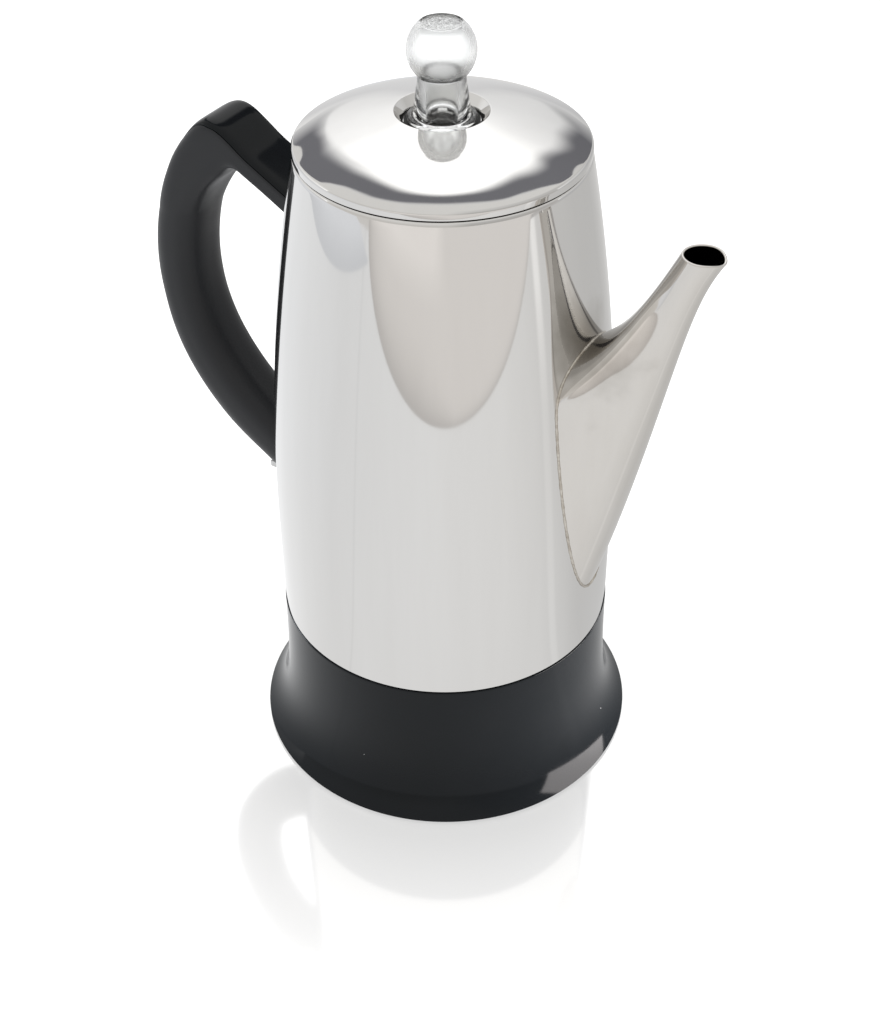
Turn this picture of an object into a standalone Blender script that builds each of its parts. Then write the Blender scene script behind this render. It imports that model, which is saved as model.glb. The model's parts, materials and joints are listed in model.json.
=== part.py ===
# Electric coffee percolator: steel pot with a welded spout, black heated base, D handle,
# lift-off lid with a clear knob, and the pump, basket and spreader inside.
# Metres, Z up. The table is z = 0, the spout points along +X and the handle along -X.

import bpy
import bmesh
import numpy as np
from math import cos, exp, pi, radians, sin
from mathutils import Vector

# ---- Driving dimensions -------------------------------------------------------------

# Overall
BASE_HEIGHT = 0.0622        # base rim up to the joint with the steel pot
BASE_RADIUS = 0.0770        # at the foot of the flare
BASE_NECK_RADIUS = 0.0661   # the straight upper part of the base
FLARE_HEIGHT = 0.0110       # the flare dies away over this height
BODY_RADIUS = 0.0659        # widest part of the steel pot
BODY_HEIGHT = 0.1951        # joint up to the lid seam
RIM_RADIUS = 0.0514         # pot at the lid seam
STRAIGHT_SHARE = 0.20       # share of the pot's height below its taper
MOUTH_RADIUS = 0.0489       # clear opening of the pot

# Walls and gaps
GAP = 0.0003                # between neighbouring pieces that touch
LOOSE = 0.0009              # between pieces that lift in and out
SHEET = 0.0008              # pot, lid and well
THIN_SHEET = 0.0006         # basket, spreader and pump foot
SKIRT_WALL = 0.0022         # base moulding, measured level
ROUND = 28                  # sides of the large round pieces
SMALL_ROUND = 16            # sides of the small round pieces
HOLE_SIDES = 12             # sides of screws, their holes and the feet
BREAK = 0.0010              # small bevel on exposed corners
OVERRUN = 0.0010            # cutters run past a wall by this

# Feet and underside
FOOT_DROP = 0.0012          # soles below the base rim
FOOT_RADIUS = 0.0060
FOOT_STEM_RADIUS = 0.0027
FOOT_CIRCLE = 0.0620
COVER_THICKNESS = 0.0020
SCREW_RADIUS = 0.0014
SCREW_HEAD_RADIUS = 0.0028
BOSS_RADIUS = 0.0042
BOSS_HEIGHT = 0.0125

# Joint between the pot and the base
TUB_DEPTH = 0.0102          # how far the pot reaches into the base
LEDGE_THICKNESS = 0.0027
LEDGE_RADIUS = 0.0570       # inner edge of the ledge that the studs go through
STUD_CIRCLE = 0.0602
STUD_RADIUS = 0.0018
NUT_RADIUS = 0.0036
NUT_HEIGHT = 0.0030

# Heating well and electrics
WELL_RADIUS = 0.0205
WELL_DEPTH = 0.0150
WELL_FLANGE = 0.0055
WELL_STUD_RADIUS = 0.0030
WELL_STUD_LENGTH = 0.0160
ELEMENT_THICKNESS = 0.0046
CLAMP_THICKNESS = 0.0016
WARMER_THICKNESS = 0.0036
WARMER_HEIGHT = 0.0080
WARMER_BELOW_FLOOR = 0.0020
THERMOSTAT_RADIUS = 0.0080
THERMOSTAT_HEIGHT = 0.0090
THERMOSTAT_CIRCLE = 0.0370
FUSE_RADIUS = 0.0022
FUSE_LENGTH = 0.0140
INLET_HEIGHT = 0.0250       # middle of the inlet above the base rim
INLET_WIDTH = 0.0270
INLET_TALL = 0.0180
INLET_DEPTH = 0.0250
INLET_WALL = 0.0028
INLET_BACK = 0.0060
INLET_FLANGE = 0.0035
INLET_FLANGE_THICKNESS = 0.0022
INLET_PROUD = 0.0008
INLET_CORNER = 0.0040
PIN_RADIUS = 0.0023
PIN_SPACING = 0.0130
PIN_TAIL = 0.0080
PIN_SET_BACK = 0.0025       # pin tips inside the mouth of the inlet
LAMP_RADIUS = 0.0040
LAMP_HEIGHT = 0.0250
LAMP_AZIMUTH = 148.0
LAMP_DEPTH = 0.0060
LAMP_PROUD = 0.0010
NEON_LENGTH = 0.0140
LEAD_RADIUS = 0.0010

# Pump
TUBE_RADIUS = 0.0035
TUBE_WALL = 0.0008
TUBE_BELOW_STEM = 0.0040    # top of the tube below the knob's stem
PUMP_FOOT_RADIUS = 0.0178
PUMP_FOOT_HEIGHT = 0.0125
COLLAR_HEIGHT = 0.0060
TUBE_INTO_FOOT = 0.0050     # the tube reaches below the top of the dome
WASHER_RADIUS = 0.0143
WASHER_THICKNESS = 0.0008
WASHER_HOLE = 0.0060
STOP_RADIUS = 0.0065
STOP_THICKNESS = 0.0025

# Basket and spreader
BASKET_RADIUS = 0.0430
BASKET_HEIGHT = 0.0600
BASKET_BELOW_SEAM = 0.0205  # basket rim below the lid seam
BASKET_RIM = 0.0012
SPREADER_RISE = 0.0020
SPREADER_LIP = 0.0050
PERFORATION_RADIUS = 0.0010

# Lid and knob
LID_BAND = 0.0034           # upright band above the seam
LID_RISE = 0.0142           # seam up to the edge of the lid's well
LID_WELL_RADIUS = 0.0163
LID_WELL_DEPTH = 0.0047
LID_SHOULDER = 0.20         # how much of the fall is kept for the lid's shoulder
PLUG_DEPTH = 0.0090         # the lid's inner ring below the seam
PLUG_FLANGE = 0.0080
KNOB_BALL_RADIUS = 0.0118
KNOB_BALL_HEIGHT = 0.0353   # middle of the ball above the seam
KNOB_TOP_RADIUS = 0.0069
KNOB_NECK_RADIUS = 0.0081
KNOB_SKIRT_RADIUS = 0.0101
KNOB_FLANGE_RADIUS = 0.0119
KNOB_FLANGE_THICKNESS = 0.0012
KNOB_WALL = 0.0022
STEM_RADIUS = 0.0078
LUG_RADIUS = 0.0102
LUG_THICKNESS = 0.0012
LUG_HALF_ANGLE = 18.0
LUG_CLEARANCE = 3.0         # degrees each side of a lug in its notch
KNOB_TWIST = 60.0
GASKET_THICKNESS = 0.0012
GASKET_RADIUS = 0.0130

# Spout
SPOUT_WALL = 0.0010
SPOUT_FOOT = 0.0280         # lowest point of the weld above the joint
SPOUT_CROTCH = 0.1370       # highest point of the weld above the joint
SPOUT_HALF_WIDTH = 0.0218   # of the weld, measured level
SPOUT_WIDEST = 0.76         # where it is widest, as a share of the weld's height
SPOUT_REACH = 0.1058        # tip from the pot's axis
SPOUT_TIP_BELOW_SEAM = 0.0128
SPOUT_MOUTH_LENGTH = 0.0152
SPOUT_MOUTH_HALF_WIDTH = 0.0074
STRAINER_HOLE_RADIUS = 0.0024

# Handle
HANDLE_REACH = 0.1287       # back of the grip from the pot's axis
HANDLE_HALF_WIDTH = 0.0121
HANDLE_TOP_BELOW_SEAM = 0.0077
HANDLE_DROP = 0.1750        # top of the handle to its lower end
CAP_THICKNESS = 0.0022
TONGUE_THICKNESS = 0.0026
TONGUE_LENGTH = 0.0160
TONGUE_HALF_WIDTH = 0.0060
TONGUE_BELOW_CAP = 0.0034   # middle of the tongue below the cap
TONGUE_ROOT = 0.0100        # cut back to the pot's wall
HANDLE_SCREW_RADIUS = 0.0015
HANDLE_SCREW_HEAD = 0.0030

# ---- Levels and radii that follow ---------------------------------------------------

JOINT = FOOT_DROP + BASE_HEIGHT
SEAM = JOINT + BODY_HEIGHT
FLOOR = JOINT - TUB_DEPTH                      # underside of the pot's floor
LEDGE_TOP = FLOOR - GAP
LEDGE_BOTTOM = LEDGE_TOP - LEDGE_THICKNESS
TUB_RADIUS = BASE_NECK_RADIUS - SKIRT_WALL - GAP
COVER_BOTTOM = FOOT_DROP + GAP
COVER_TOP = COVER_BOTTOM + COVER_THICKNESS
WELL_FLANGE_BOTTOM = FLOOR + SHEET + GAP
WELL_FLOOR = WELL_FLANGE_BOTTOM - WELL_DEPTH   # inside of the well
WELL_UNDER = WELL_FLOOR - SHEET
ELEMENT_TOP = WELL_UNDER - GAP
ELEMENT_BOTTOM = ELEMENT_TOP - ELEMENT_THICKNESS
CLAMP_TOP = ELEMENT_BOTTOM - GAP
CLAMP_BOTTOM = CLAMP_TOP - CLAMP_THICKNESS
WARMER_TOP = FLOOR - WARMER_BELOW_FLOOR
WARMER_BOTTOM = WARMER_TOP - WARMER_HEIGHT
PUMP_BOTTOM = WELL_FLOOR + GAP
WASHER_BOTTOM = PUMP_BOTTOM + THIN_SHEET + GAP
LID_FLOOR = SEAM + LID_RISE - LID_WELL_DEPTH   # upper side of the lid's well
LUG_TOP = LID_FLOOR - SHEET - GAP
STEM_BOTTOM = LUG_TOP - LUG_THICKNESS - GAP
GASKET_BOTTOM = LID_FLOOR + GAP
FLANGE_BOTTOM = GASKET_BOTTOM + GASKET_THICKNESS + GAP
TUBE_TOP = STEM_BOTTOM - TUBE_BELOW_STEM
TUBE_BOTTOM = PUMP_BOTTOM + PUMP_FOOT_HEIGHT - TUBE_INTO_FOOT
BASKET_TOP = SEAM - BASKET_BELOW_SEAM
BASKET_BOTTOM = BASKET_TOP - BASKET_HEIGHT
STOP_TOP = BASKET_BOTTOM - GAP
HUB_RADIUS = TUBE_RADIUS + LOOSE
AXIS_X = (HANDLE_REACH - SPOUT_REACH) / 2      # puts the origin under the middle of the whole pot


def base_radius(height):
    # The flare dies away exponentially above the base rim.
    flare = BASE_RADIUS - BASE_NECK_RADIUS
    return BASE_NECK_RADIUS + flare * exp(-(height - FOOT_DROP) / FLARE_HEIGHT)


def body_radius(height):
    # Straight lower part, then a parabola that closes in to the rim.
    share = (height - JOINT) / BODY_HEIGHT
    taper = max(0.0, (share - STRAIGHT_SHARE) / (1 - STRAIGHT_SHARE))
    return BODY_RADIUS - (BODY_RADIUS - RIM_RADIUS) * taper**2


# ---- Scene and materials ------------------------------------------------------------

for old in list(bpy.data.objects):
    bpy.data.objects.remove(old, do_unlink=True)

pot_axis = bpy.data.objects.new("pot_axis", None)
pot_axis.location = (AXIS_X, 0, 0)
bpy.context.scene.collection.objects.link(pot_axis)


def finish(name, colour, roughness, metallic=0.0, transmission=0.0):
    material = bpy.data.materials.new(name)
    material.use_nodes = True
    shader = material.node_tree.nodes["Principled BSDF"]
    shader.inputs["Base Color"].default_value = (*colour, 1)
    shader.inputs["Roughness"].default_value = roughness
    shader.inputs["Metallic"].default_value = metallic
    shader.inputs["Transmission Weight"].default_value = transmission
    material.diffuse_color = (*colour, 1)
    return material


STEEL = ((0.74, 0.73, 0.72), 0.08, 1.0)
PLAIN_STEEL = ((0.62, 0.62, 0.62), 0.30, 1.0)
ALUMINIUM = ((0.78, 0.78, 0.79), 0.32, 1.0)
BRASS = ((0.78, 0.60, 0.30), 0.30, 1.0)
GLOSS_BLACK = ((0.010, 0.011, 0.014), 0.12)
MATTE_BLACK = ((0.020, 0.021, 0.024), 0.48)
RUBBER = ((0.015, 0.015, 0.015), 0.80)
CLEAR = ((0.97, 0.98, 0.98), 0.02, 0.0, 1.0)
AMBER = ((0.90, 0.35, 0.06), 0.10, 0.0, 0.6)
SILICONE = ((0.05, 0.05, 0.05), 0.60)
CERAMIC = ((0.86, 0.84, 0.80), 0.50)
SLEEVE_WHITE = ((0.82, 0.80, 0.75), 0.65)


# ---- Mesh helpers -------------------------------------------------------------------


def node(name, points, faces, look=None):
    mesh = bpy.data.meshes.new(name)
    mesh.from_pydata([tuple(point) for point in points], [], faces)
    built = bmesh.new()
    built.from_mesh(mesh)
    bmesh.ops.recalc_face_normals(built, faces=built.faces)
    built.to_mesh(mesh)
    built.free()
    mesh.shade_smooth()
    mesh.set_sharp_from_angle(angle=radians(35))
    made = bpy.data.objects.new(name, mesh)
    made.parent = pot_axis
    bpy.context.scene.collection.objects.link(made)
    if look:
        mesh.materials.append(finish(name, *look))
    else:
        made.hide_render = True
        made.display_type = "WIRE"
    return made


def turned(name, outline, look=None, sides=ROUND, centre=(0, 0), turn=0.0):
    # Spins a closed outline of (radius, height) points about a vertical line.
    # A point on the line becomes a single pole.
    points = []
    rings = []
    angles = [turn + 2 * pi * step / sides for step in range(sides)]
    for radius, height in outline:
        if radius < 1e-7:
            rings.append([len(points)] * sides)
            points.append((centre[0], centre[1], height))
            continue
        rings.append(list(range(len(points), len(points) + sides)))
        points += [
            (centre[0] + radius * cos(angle), centre[1] + radius * sin(angle), height)
            for angle in angles
        ]
    faces = []
    for low, high in zip(rings, rings[1:] + rings[:1]):
        for step in range(sides):
            after = (step + 1) % sides
            corners = [low[step], low[after], high[after], high[step]]
            corners = list(dict.fromkeys(corners))
            if len(corners) > 2:
                faces.append(corners)
    return node(name, points, faces, look)


def sheet(path, wall):
    # Closed outline of sheet metal: the path, and the same path moved to its left by the wall.
    line = np.array(path)
    runs = np.diff(line, axis=0)
    runs /= np.linalg.norm(runs, axis=1)[:, None]
    before = np.vstack([runs[:1], runs])
    after = np.vstack([runs, runs[-1:]])
    across = before + after
    across /= np.linalg.norm(across, axis=1)[:, None]
    left = np.column_stack([-across[:, 1], across[:, 0]])
    stretch = np.sum(across * after, axis=1)[:, None]
    return path + [tuple(point) for point in (line + left * wall / stretch)[::-1]]


def loft(name, sections, look=None):
    # Skins a list of rings that have the same number of points, and closes both ends.
    count = len(sections[0])
    points = [point for section in sections for point in section]
    faces = []
    for ring in range(len(sections) - 1):
        start = ring * count
        for step in range(count):
            after = (step + 1) % count
            faces.append([start + step, start + after, start + count + after, start + count + step])
    faces.append(list(range(count)))
    faces.append(list(range(len(points) - count, len(points))))
    return node(name, points, faces, look)


def rod(name, start, end, radius, look=None, sides=SMALL_ROUND, end_radius=None):
    start, end = Vector(start), Vector(end)
    along = (end - start).normalized()
    side = along.orthogonal().normalized()
    up = along.cross(side)
    rings = []
    for middle, size in ((start, radius), (end, end_radius or radius)):
        ring = []
        for step in range(sides):
            angle = 2 * pi * step / sides
            ring.append(middle + side * size * cos(angle) + up * size * sin(angle))
        rings.append(ring)
    return loft(name, rings, look)


def boolean(target, tool, operation="DIFFERENCE"):
    tool.hide_render = True
    tool.display_type = "WIRE"
    step = target.modifiers.new(tool.name, "BOOLEAN")
    step.operation = operation
    step.solver = "EXACT"
    step.object = tool
    return target


def cut_all(target, tools):
    for tool in tools:
        boolean(target, tool)


def around(radius, degrees, height=0.0):
    return Vector((radius * cos(radians(degrees)), radius * sin(radians(degrees)), height))


def curve_through(knots, count):
    # Catmull-Rom curve through the knots, with the same number of steps in each stretch.
    line = np.array(knots, float)
    line = np.vstack([2 * line[0] - line[1], line, 2 * line[-1] - line[-2]])
    share = np.linspace(0, len(knots) - 1, count)
    start = np.minimum(share.astype(int), len(knots) - 2)
    t = (share - start)[:, None]
    a, b, c, d = (line[start + shift] for shift in range(4))
    return 0.5 * (2 * b + (c - a) * t + (2 * a - 5 * b + 4 * c - d) * t**2 + (3 * b - a - 3 * c + d) * t**3)


# ---- Steel pot ----------------------------------------------------------------------

SHOULDER = 0.0012           # roll of the rim
NECK_DEPTH = 0.0050         # the rim turned down inside
FLOOR_ROLL = 0.0016         # corner between the floor and the wall
TAPER_STEPS = 6


def pot_outline():
    start = WELL_RADIUS + GAP * 2
    path = [(start, FLOOR), (TUB_RADIUS - FLOOR_ROLL, FLOOR), (TUB_RADIUS, FLOOR + FLOOR_ROLL)]
    path += [(TUB_RADIUS, JOINT), (BODY_RADIUS, JOINT)]
    lower = JOINT + BODY_HEIGHT * STRAIGHT_SHARE
    upper = SEAM - SHOULDER
    for step in range(TAPER_STEPS + 1):
        height = lower + (upper - lower) * step / TAPER_STEPS
        path.append((body_radius(height), height))
    path += [(RIM_RADIUS - SHOULDER * 0.65, SEAM - SHOULDER * 0.25), (RIM_RADIUS - SHOULDER * 1.4, SEAM)]
    path += [(MOUTH_RADIUS + BREAK * 0.5, SEAM), (MOUTH_RADIUS, SEAM - BREAK * 0.6)]
    path.append((MOUTH_RADIUS, SEAM - NECK_DEPTH))
    return path


body_shell = turned("body_shell", sheet(pot_outline(), SHEET), STEEL)


def pot_solid(name, grow):
    # The pot's outer shape as one solid, grown by a gap, for cutting what meets it.
    low, high = FLOOR - BODY_RADIUS / 6, SEAM + BODY_RADIUS / 6
    path = [(0, low), (BODY_RADIUS + grow, low), (BODY_RADIUS + grow, JOINT)]
    lower = JOINT + BODY_HEIGHT * STRAIGHT_SHARE
    for step in range(TAPER_STEPS + 1):
        height = lower + (SEAM - SHOULDER - lower) * step / TAPER_STEPS
        path.append((body_radius(height) + grow, height))
    path += [(RIM_RADIUS + grow, high), (0, high)]
    return turned(name, path)


# Strainer holes behind the spout, in staggered rows
STRAINER_ROWS = 4
STRAINER_PITCH = 0.0110
STRAINER_SIDES = 6
STRAINER_LEVEL = 0.45       # middle of the holes as a share of the weld's height
strainer_middle = JOINT + SPOUT_FOOT + (SPOUT_CROTCH - SPOUT_FOOT) * STRAINER_LEVEL
for row in range(STRAINER_ROWS):
    height = strainer_middle + (row - (STRAINER_ROWS - 1) / 2) * STRAINER_PITCH
    places = (-0.5, 0.5) if row % 2 else (-1, 0, 1)
    for place in places:
        angle = place * STRAINER_PITCH / BODY_RADIUS
        out = Vector((cos(angle), sin(angle), 0))
        start = out * (RIM_RADIUS - OVERRUN) + Vector((0, 0, height))
        end = out * (BODY_RADIUS + OVERRUN * 5) + Vector((0, 0, height))
        hole = rod(f"strainer_cut_{row}_{place}", start, end, STRAINER_HOLE_RADIUS, sides=STRAINER_SIDES)
        boolean(body_shell, hole)

# Heating well: a cup through the floor, with the stud that holds the element
well_wall = WELL_RADIUS - SHEET
stud_end = WELL_UNDER - WELL_STUD_LENGTH
turned(
    "heating_well",
    [
        (0, stud_end),
        (WELL_STUD_RADIUS, stud_end),
        (WELL_STUD_RADIUS, WELL_UNDER),
        (WELL_RADIUS - BREAK, WELL_UNDER),
        (WELL_RADIUS, WELL_UNDER + BREAK),
        (WELL_RADIUS, WELL_FLANGE_BOTTOM),
        (WELL_RADIUS + WELL_FLANGE, WELL_FLANGE_BOTTOM),
        (WELL_RADIUS + WELL_FLANGE, WELL_FLANGE_BOTTOM + SHEET),
        (well_wall, WELL_FLANGE_BOTTOM + SHEET),
        (well_wall, WELL_FLOOR + BREAK),
        (well_wall - BREAK, WELL_FLOOR),
        (0, WELL_FLOOR),
    ],
    STEEL,
)

# Studs welded under the floor, which the base hangs on
STUD_ANGLES = (30, 150, 270)
STUD_BELOW_NUT = 0.0020
nut_top = LEDGE_BOTTOM - GAP
for number, angle in enumerate(STUD_ANGLES, 1):
    place = around(STUD_CIRCLE, angle)
    top = Vector((place.x, place.y, FLOOR - GAP))
    low = Vector((place.x, place.y, nut_top - NUT_HEIGHT - STUD_BELOW_NUT))
    rod(f"base_stud_{number}", low, top, STUD_RADIUS, PLAIN_STEEL, sides=HOLE_SIDES)
    nut_bore = (STUD_RADIUS + GAP) / cos(pi / 6)
    nut_outline = [
        (nut_bore, nut_top - NUT_HEIGHT),
        (NUT_RADIUS, nut_top - NUT_HEIGHT),
        (NUT_RADIUS, nut_top),
        (nut_bore, nut_top),
    ]
    turned(f"base_nut_{number}", nut_outline, PLAIN_STEEL, sides=6, centre=(place.x, place.y))

# ---- Spout --------------------------------------------------------------------------

SPOUT_AROUND = 24
SPOUT_ALONG = 9
SPOUT_PULL = 0.33           # share of the run that holds its first and last direction
SPOUT_PINCH = 0.18          # how much narrower the lip is than the mouth
SPOUT_LIP_DROP = 0.0010
LIP_FLARE = 0.0035          # how far the lip turns out over the last stretch
LIP_POWER = 12


def spout_root(turn, inset):
    # The weld line on the pot: a teardrop, 0 at the foot and pi at the crotch.
    share = (1 - cos(turn)) / 2
    height = JOINT + SPOUT_FOOT + inset + (SPOUT_CROTCH - SPOUT_FOOT - 2 * inset) * share
    if share < SPOUT_WIDEST:
        width = sin(pi / 2 * share / SPOUT_WIDEST) ** 0.45
    else:
        width = max(0.0, 1 - ((share - SPOUT_WIDEST) / (1 - SPOUT_WIDEST)) ** 3) ** 0.5
    radius = body_radius(height)
    angle = (SPOUT_HALF_WIDTH - inset) * width / radius
    return np.array([radius * cos(angle), radius * sin(angle), height])


def spout_mouth(turn, inset):
    # The mouth: round at the back, pinched at the sides and drawn to a lip at the front.
    length = SPOUT_MOUTH_LENGTH - 2 * inset
    middle = SPOUT_REACH - SPOUT_MOUTH_LENGTH / 2
    forward = cos(turn)
    pinch = 1 - SPOUT_PINCH * max(0.0, forward) ** 2
    x = middle + length / 2 * forward
    y = (SPOUT_MOUTH_HALF_WIDTH - inset) * sin(turn) * pinch
    lip = SPOUT_LIP_DROP * max(0.0, forward) ** 3
    return np.array([x, y, SEAM - SPOUT_TIP_BELOW_SEAM - lip])


def spout_skin(turn, inset):
    # A Bezier curve from the weld to the mouth for one place round the spout. It leaves the
    # crotch outwards and the foot upwards, and the front of the lip turns out at the end.
    fold = min(turn, 2 * pi - turn)
    lower = (1 + cos(fold)) / 2
    flare = LIP_FLARE * lower**2
    root = spout_root(fold, inset)
    mouth = spout_mouth(fold, inset) - (flare, 0, 0)
    root_way = np.array([0.80 - 0.52 * lower, -0.15 * sin(fold), 0.60 + 0.36 * lower])
    tip_way = np.array([0.42 - 0.21 * lower, 0, 0.907 + 0.071 * lower])
    pull = np.linalg.norm(mouth - root) * SPOUT_PULL
    root_pull = root + root_way * pull
    tip_pull = mouth - tip_way * pull
    t = 1 - (1 - np.linspace(0, 1, SPOUT_ALONG)[:, None]) ** 1.6
    line = (1 - t) ** 3 * root + 3 * (1 - t) ** 2 * t * root_pull
    line += 3 * (1 - t) * t**2 * tip_pull + t**3 * mouth
    line[:, 0] += flare * t[:, 0] ** LIP_POWER
    line[:, 1] *= 1 if turn <= pi else -1
    return line


def spout_node():
    turns = [2 * pi * step / SPOUT_AROUND for step in range(SPOUT_AROUND)]
    outer = np.array([spout_skin(turn, 0.0) for turn in turns])
    inner = np.array([spout_skin(turn, SPOUT_WALL) for turn in turns])
    points = np.concatenate([outer.reshape(-1, 3), inner.reshape(-1, 3)])
    faces = []
    skin = SPOUT_AROUND * SPOUT_ALONG
    for step in range(SPOUT_AROUND):
        here = step * SPOUT_ALONG
        beside = (step + 1) % SPOUT_AROUND * SPOUT_ALONG
        for along in range(SPOUT_ALONG - 1):
            for first in (0, skin):
                low, high = first + here + along, first + beside + along
                faces.append([low, low + 1, high + 1, high])
        last = SPOUT_ALONG - 1
        faces.append([here, beside, skin + beside, skin + here])
        faces.append([here + last, beside + last, skin + beside + last, skin + here + last])
    return node("spout", points, faces, STEEL)


spout = spout_node()
boolean(spout, pot_solid("spout_cut", GAP))

# ---- Base ---------------------------------------------------------------------------

SKIRT_STEPS = 6
skirt_top = JOINT - GAP


def skirt_outline():
    rise = [(step / SKIRT_STEPS) ** 1.7 for step in range(SKIRT_STEPS + 1)]
    heights = [FOOT_DROP + (skirt_top - FOOT_DROP) * share for share in rise]
    outer = [(base_radius(height), height) for height in heights]
    inner_top = LEDGE_BOTTOM - SKIRT_WALL
    inner = [(radius - SKIRT_WALL, height) for radius, height in outer if height < inner_top]
    ledge = [
        (BASE_NECK_RADIUS - SKIRT_WALL, skirt_top),
        (BASE_NECK_RADIUS - SKIRT_WALL, LEDGE_TOP),
        (LEDGE_RADIUS, LEDGE_TOP),
        (LEDGE_RADIUS, LEDGE_BOTTOM),
        (BASE_NECK_RADIUS - SKIRT_WALL, LEDGE_BOTTOM),
    ]
    return outer + ledge + inner[::-1]


base_skirt = turned("base_skirt", skirt_outline(), GLOSS_BLACK)

# Three bosses for the cover's screws grow from the inside of the wall
BOSS_ANGLES = (0, 120, 240)
boss_bottom = COVER_TOP + GAP
boss_circle = base_radius(boss_bottom + BOSS_HEIGHT) - BOSS_RADIUS - SKIRT_WALL * 0.4
SCREW_HOLE_SHARE = 0.70     # of the boss's height
SCREW_SHARE = 0.60
for number, angle in enumerate(BOSS_ANGLES, 1):
    place = around(boss_circle, angle)
    low = Vector((place.x, place.y, boss_bottom))
    high = Vector((place.x, place.y, boss_bottom + BOSS_HEIGHT))
    boss = rod(f"boss_{number}", low, high, BOSS_RADIUS, sides=HOLE_SIDES)
    boolean(base_skirt, boss, "UNION")
for number, angle in enumerate(BOSS_ANGLES, 1):
    place = around(boss_circle, angle)
    low = Vector((place.x, place.y, boss_bottom - OVERRUN))
    high = Vector((place.x, place.y, boss_bottom + BOSS_HEIGHT * SCREW_HOLE_SHARE))
    boolean(base_skirt, rod(f"boss_hole_{number}", low, high, SCREW_RADIUS + GAP, sides=HOLE_SIDES))
for number, angle in enumerate(STUD_ANGLES, 1):
    place = around(STUD_CIRCLE, angle)
    low = Vector((place.x, place.y, LEDGE_BOTTOM - OVERRUN))
    high = Vector((place.x, place.y, LEDGE_TOP + OVERRUN))
    boolean(base_skirt, rod(f"stud_hole_{number}", low, high, STUD_RADIUS + GAP, sides=HOLE_SIDES))

# Underside cover, with the feet and screws
cover_radius = base_radius(COVER_TOP) - SKIRT_WALL - GAP * 2
bottom_cover = turned(
    "bottom_cover",
    [(0, COVER_BOTTOM), (cover_radius, COVER_BOTTOM), (cover_radius, COVER_TOP), (0, COVER_TOP)],
    MATTE_BLACK,
)
SINK_DEPTH = 0.0012         # recess for the screw heads
for number, angle in enumerate(BOSS_ANGLES, 1):
    place = around(boss_circle, angle)
    low = Vector((place.x, place.y, COVER_BOTTOM - OVERRUN))
    high = Vector((place.x, place.y, COVER_TOP + OVERRUN))
    sink = Vector((place.x, place.y, COVER_BOTTOM + SINK_DEPTH))
    boolean(bottom_cover, rod(f"cover_hole_{number}", low, high, SCREW_RADIUS + GAP, sides=HOLE_SIDES))
    boolean(bottom_cover, rod(f"cover_sink_{number}", low, sink, SCREW_HEAD_RADIUS + GAP, sides=HOLE_SIDES))
    head_bottom = COVER_BOTTOM + GAP
    head_top = COVER_BOTTOM + SINK_DEPTH - GAP
    screw_top = boss_bottom + BOSS_HEIGHT * SCREW_SHARE
    screw = [
        (0, head_bottom),
        (SCREW_HEAD_RADIUS, head_bottom),
        (SCREW_HEAD_RADIUS, head_top),
        (SCREW_RADIUS, head_top),
        (SCREW_RADIUS, screw_top),
        (0, screw_top + SCREW_RADIUS),
    ]
    turned(f"cover_screw_{number}", screw, PLAIN_STEEL, sides=HOLE_SIDES, centre=(place.x, place.y))

FOOT_ANGLES = (45, 135, 225, 315)
BARB_HEIGHT = 0.0016
BARB_STEP = 0.0008
for number, angle in enumerate(FOOT_ANGLES, 1):
    place = around(FOOT_CIRCLE, angle)
    low = Vector((place.x, place.y, COVER_BOTTOM - OVERRUN))
    high = Vector((place.x, place.y, COVER_TOP + OVERRUN))
    boolean(bottom_cover, rod(f"foot_hole_{number}", low, high, FOOT_STEM_RADIUS + GAP, sides=HOLE_SIDES))
    barb = COVER_TOP + GAP
    foot = [
        (0, 0),
        (FOOT_RADIUS, 0),
        (FOOT_RADIUS, COVER_BOTTOM - GAP),
        (FOOT_STEM_RADIUS, COVER_BOTTOM - GAP),
        (FOOT_STEM_RADIUS, barb),
        (FOOT_STEM_RADIUS + BARB_STEP, barb),
        (FOOT_STEM_RADIUS, barb + BARB_HEIGHT),
        (0, barb + BARB_HEIGHT),
    ]
    turned(f"foot_{number}", foot, RUBBER, sides=HOLE_SIDES, centre=(place.x, place.y))

# Heating element under the well, held by a plate and a nut
ELEMENT_NUT_RADIUS = 0.0062
ELEMENT_NUT_HEIGHT = 0.0040
element_radius = WELL_RADIUS - BREAK * 1.5
plate_radius = element_radius - BREAK * 3
ring_hole = WELL_STUD_RADIUS + GAP * 2
turned(
    "main_element",
    [
        (ring_hole, ELEMENT_BOTTOM),
        (element_radius - BREAK, ELEMENT_BOTTOM),
        (element_radius, ELEMENT_BOTTOM + BREAK),
        (element_radius, ELEMENT_TOP),
        (ring_hole, ELEMENT_TOP),
    ],
    ALUMINIUM,
)
turned(
    "element_plate",
    [
        (ring_hole, CLAMP_BOTTOM),
        (plate_radius, CLAMP_BOTTOM),
        (plate_radius, CLAMP_TOP),
        (ring_hole, CLAMP_TOP),
    ],
    PLAIN_STEEL,
)
element_nut_top = CLAMP_BOTTOM - GAP
turned(
    "element_nut",
    [
        (ring_hole * 1.2, element_nut_top - ELEMENT_NUT_HEIGHT),
        (ELEMENT_NUT_RADIUS, element_nut_top - ELEMENT_NUT_HEIGHT),
        (ELEMENT_NUT_RADIUS, element_nut_top),
        (ring_hole * 1.2, element_nut_top),
    ],
    BRASS,
    sides=6,
)
warmer_inner = WELL_RADIUS + GAP
turned(
    "warming_element",
    [
        (warmer_inner, WARMER_BOTTOM),
        (warmer_inner + WARMER_THICKNESS, WARMER_BOTTOM),
        (warmer_inner + WARMER_THICKNESS, WARMER_TOP),
        (warmer_inner, WARMER_TOP),
    ],
    CERAMIC,
)

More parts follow.
